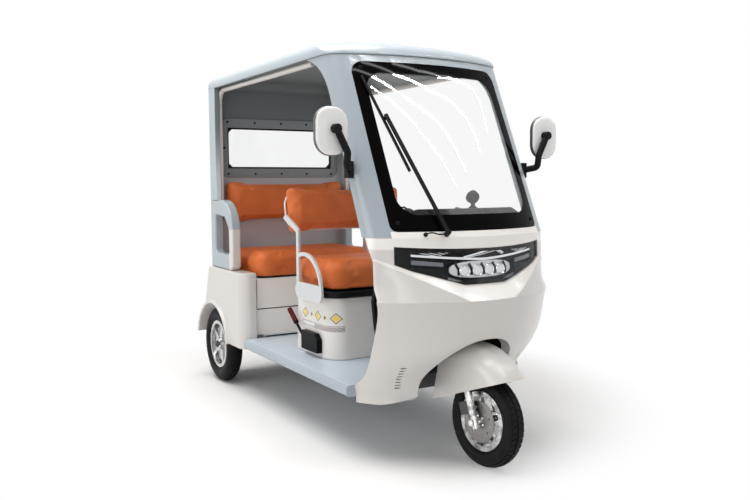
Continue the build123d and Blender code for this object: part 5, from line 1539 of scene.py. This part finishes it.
class TRIKE_OT_stage(bpy.types.Operator):
    """White sweep, soft lamps and the camera at the picture's angle"""

    bl_idname = "trike.stage"
    bl_label = "Stage"

    def execute(self, context):
        self.world(context.scene)
        self.floor()
        self.lamps()
        self.tubes()
        self.camera(context.scene)
        context.scene.view_settings.view_transform = "Standard"
        return {"FINISHED"}

    def world(self, scene):
        world = bpy.data.worlds.new("studio")
        scene.world = world
        world.use_nodes = True
        tree = world.node_tree
        tree.nodes.clear()
        rays = tree.nodes.new("ShaderNodeLightPath")
        seen = rays.outputs["Is Camera Ray"]
        for kind in ("Is Glossy Ray", "Is Transmission Ray"):
            either = tree.nodes.new("ShaderNodeMath")
            either.operation = "MAXIMUM"
            tree.links.new(seen, either.inputs[0])
            tree.links.new(rays.outputs[kind], either.inputs[1])
            seen = either.outputs[0]
        soft = tree.nodes.new("ShaderNodeBackground")
        soft.inputs["Color"].default_value = (1.0, 1.0, 1.0, 1.0)
        soft.inputs["Strength"].default_value = 0.34
        white = tree.nodes.new("ShaderNodeBackground")
        white.inputs["Color"].default_value = (1, 1, 1, 1)
        white.inputs["Strength"].default_value = 1.0
        pick = tree.nodes.new("ShaderNodeMixShader")
        out = tree.nodes.new("ShaderNodeOutputWorld")
        tree.links.new(seen, pick.inputs[0])
        tree.links.new(soft.outputs[0], pick.inputs[1])
        tree.links.new(white.outputs[0], pick.inputs[2])
        tree.links.new(pick.outputs[0], out.inputs[0])

    def floor(self):
        verts = [(-14, -14, 0), (14, -14, 0), (14, 14, 0), (-14, 14, 0)]
        mesh = bpy.data.meshes.new("sweep")
        mesh.from_pydata(verts, [], [(0, 1, 2, 3)])
        mesh.materials.append(studio_floor())
        link("sweep", mesh)

    def lamps(self):
        for name, place, aim, size, power, tint in (
                ("top_box", (-0.4, -0.9, 4.2), (-0.1, 0.0, 0.4), (3.6, 3.6), 190, (1, 0.99, 0.98)),
                ("side_box", (0.2, -4.4, 1.7), (0.0, 0.0, 0.7), (3.4, 2.0), 42, (1, 1, 1)),
                ("fill_box", (4.6, -3.4, 1.9), (-0.2, 0.0, 0.8), (2.2, 1.8), 24, (1, 0.99, 0.98)),
                ("front_box", (5.2, 1.6, 2.6), (0.6, 0.0, 0.8), (2.4, 2.2), 10, (0.98, 0.99, 1))):
            lamp = bpy.data.lights.new(name, "AREA")
            lamp.shape = "RECTANGLE"
            lamp.size, lamp.size_y = size
            lamp.energy = power
            lamp.color = tint
            holder = bpy.data.objects.new(name, lamp)
            bpy.context.scene.collection.objects.link(holder)
            holder.location = place
            holder.rotation_euler = (Vector(place) - Vector(aim)).to_track_quat("Z", "Y").to_euler()

    def tubes(self):
        """Tubes on the ceiling whose reflections run down the windscreen; from over the rear axle."""
        runs = [((3.05, -0.25), (3.08, 0.6), (3.02, 1.6), (2.86, 2.6), (2.84, 3.1), (2.9, 3.5), (3.04, 3.75)),
                ((3.12, -0.58), (3.18, 0.0), (3.26, 0.5), (3.31, 1.05), (3.35, 1.7), (3.47, 2.2), (3.7, 2.7)),
                ((3.28, -0.21), (3.4, 0.26), (3.5, 0.63), (3.65, 1.05), (3.81, 1.54), (4.07, 2.02)),
                ((2.98, 0.57), (2.96, 0.8), (2.9, 1.3), (2.74, 2.0), (2.44, 2.85), (2.18, 3.55), (2.14, 4.1),
                 (2.36, 4.5))]
        for index, run in enumerate(runs):
            mesh = tube(f"ceiling_tube_{index}", [(AXLE_X + x, y, 4.0) for x, y in run], 0.009, 8)
            mesh.materials.append(tube_light())
            link(f"ceiling_tube_{index}", mesh)

    def camera(self, scene):
        view = scene.trike_stage
        turn, tilt, roll = (math.radians(value) for value in (view.azimuth, view.elevation, view.roll))
        back = Vector((math.sin(turn) * math.cos(tilt), -math.cos(turn) * math.cos(tilt), math.sin(tilt)))
        right = (-back).cross(Vector((0, 0, 1))).normalized()
        up = right.cross(-back)
        right, up = right * math.cos(roll) + up * math.sin(roll), up * math.cos(roll) - right * math.sin(roll)
        lens = bpy.data.cameras.new("camera")
        lens.sensor_width = SENSOR_WIDTH
        lens.lens = view.focal_px / PICTURE_WIDTH * SENSOR_WIDTH
        lens.clip_start, lens.clip_end = 0.05, 100.0
        holder = bpy.data.objects.new("camera", lens)
        scene.collection.objects.link(holder)
        eye = Vector(view.eye) + Vector((AXLE_X, 0, 0))
        holder.matrix_world = Matrix(((right.x, up.x, back.x, eye.x), (right.y, up.y, back.y, eye.y),
                                      (right.z, up.z, back.z, eye.z), (0, 0, 0, 1)))
        scene.camera = holder


class TRIKE_PT_panel(bpy.types.Panel):
    """Lists the steps in the order they are run"""

    bl_idname = "TRIKE_PT_panel"
    bl_label = "Tricycle"
    bl_space_type = "VIEW_3D"
    bl_region_type = "UI"
    bl_category = "Tricycle"

    def draw(self, context):
        column = self.layout.column()
        for step in STEPS:
            column.operator(step.bl_idname)


STEPS = (TRIKE_OT_stage, TRIKE_OT_wheels, TRIKE_OT_steering, TRIKE_OT_nose, TRIKE_OT_screen, TRIKE_OT_cabin,
         TRIKE_OT_body, TRIKE_OT_seats, TRIKE_OT_controls, TRIKE_OT_underbody)
GROUPS = (("trike_paint", PaintSettings), ("trike_wheels", WheelSettings), ("trike_seats", SeatSettings),
          ("trike_stage", StageSettings))


def register():
    for name, group in GROUPS:
        bpy.utils.register_class(group)
        setattr(bpy.types.Scene, name, PointerProperty(type=group))
    for item in STEPS + (TRIKE_PT_panel,):
        bpy.utils.register_class(item)


def unregister():
    for item in reversed(STEPS + (TRIKE_PT_panel,)):
        bpy.utils.unregister_class(item)
    for name, group in reversed(GROUPS):
        delattr(bpy.types.Scene, name)
        bpy.utils.unregister_class(group)


def main():
    register()
    for step in STEPS:
        group, name = step.bl_idname.split(".")
        getattr(getattr(bpy.ops, group), name)()


if __name__ == "__main__":
    main()
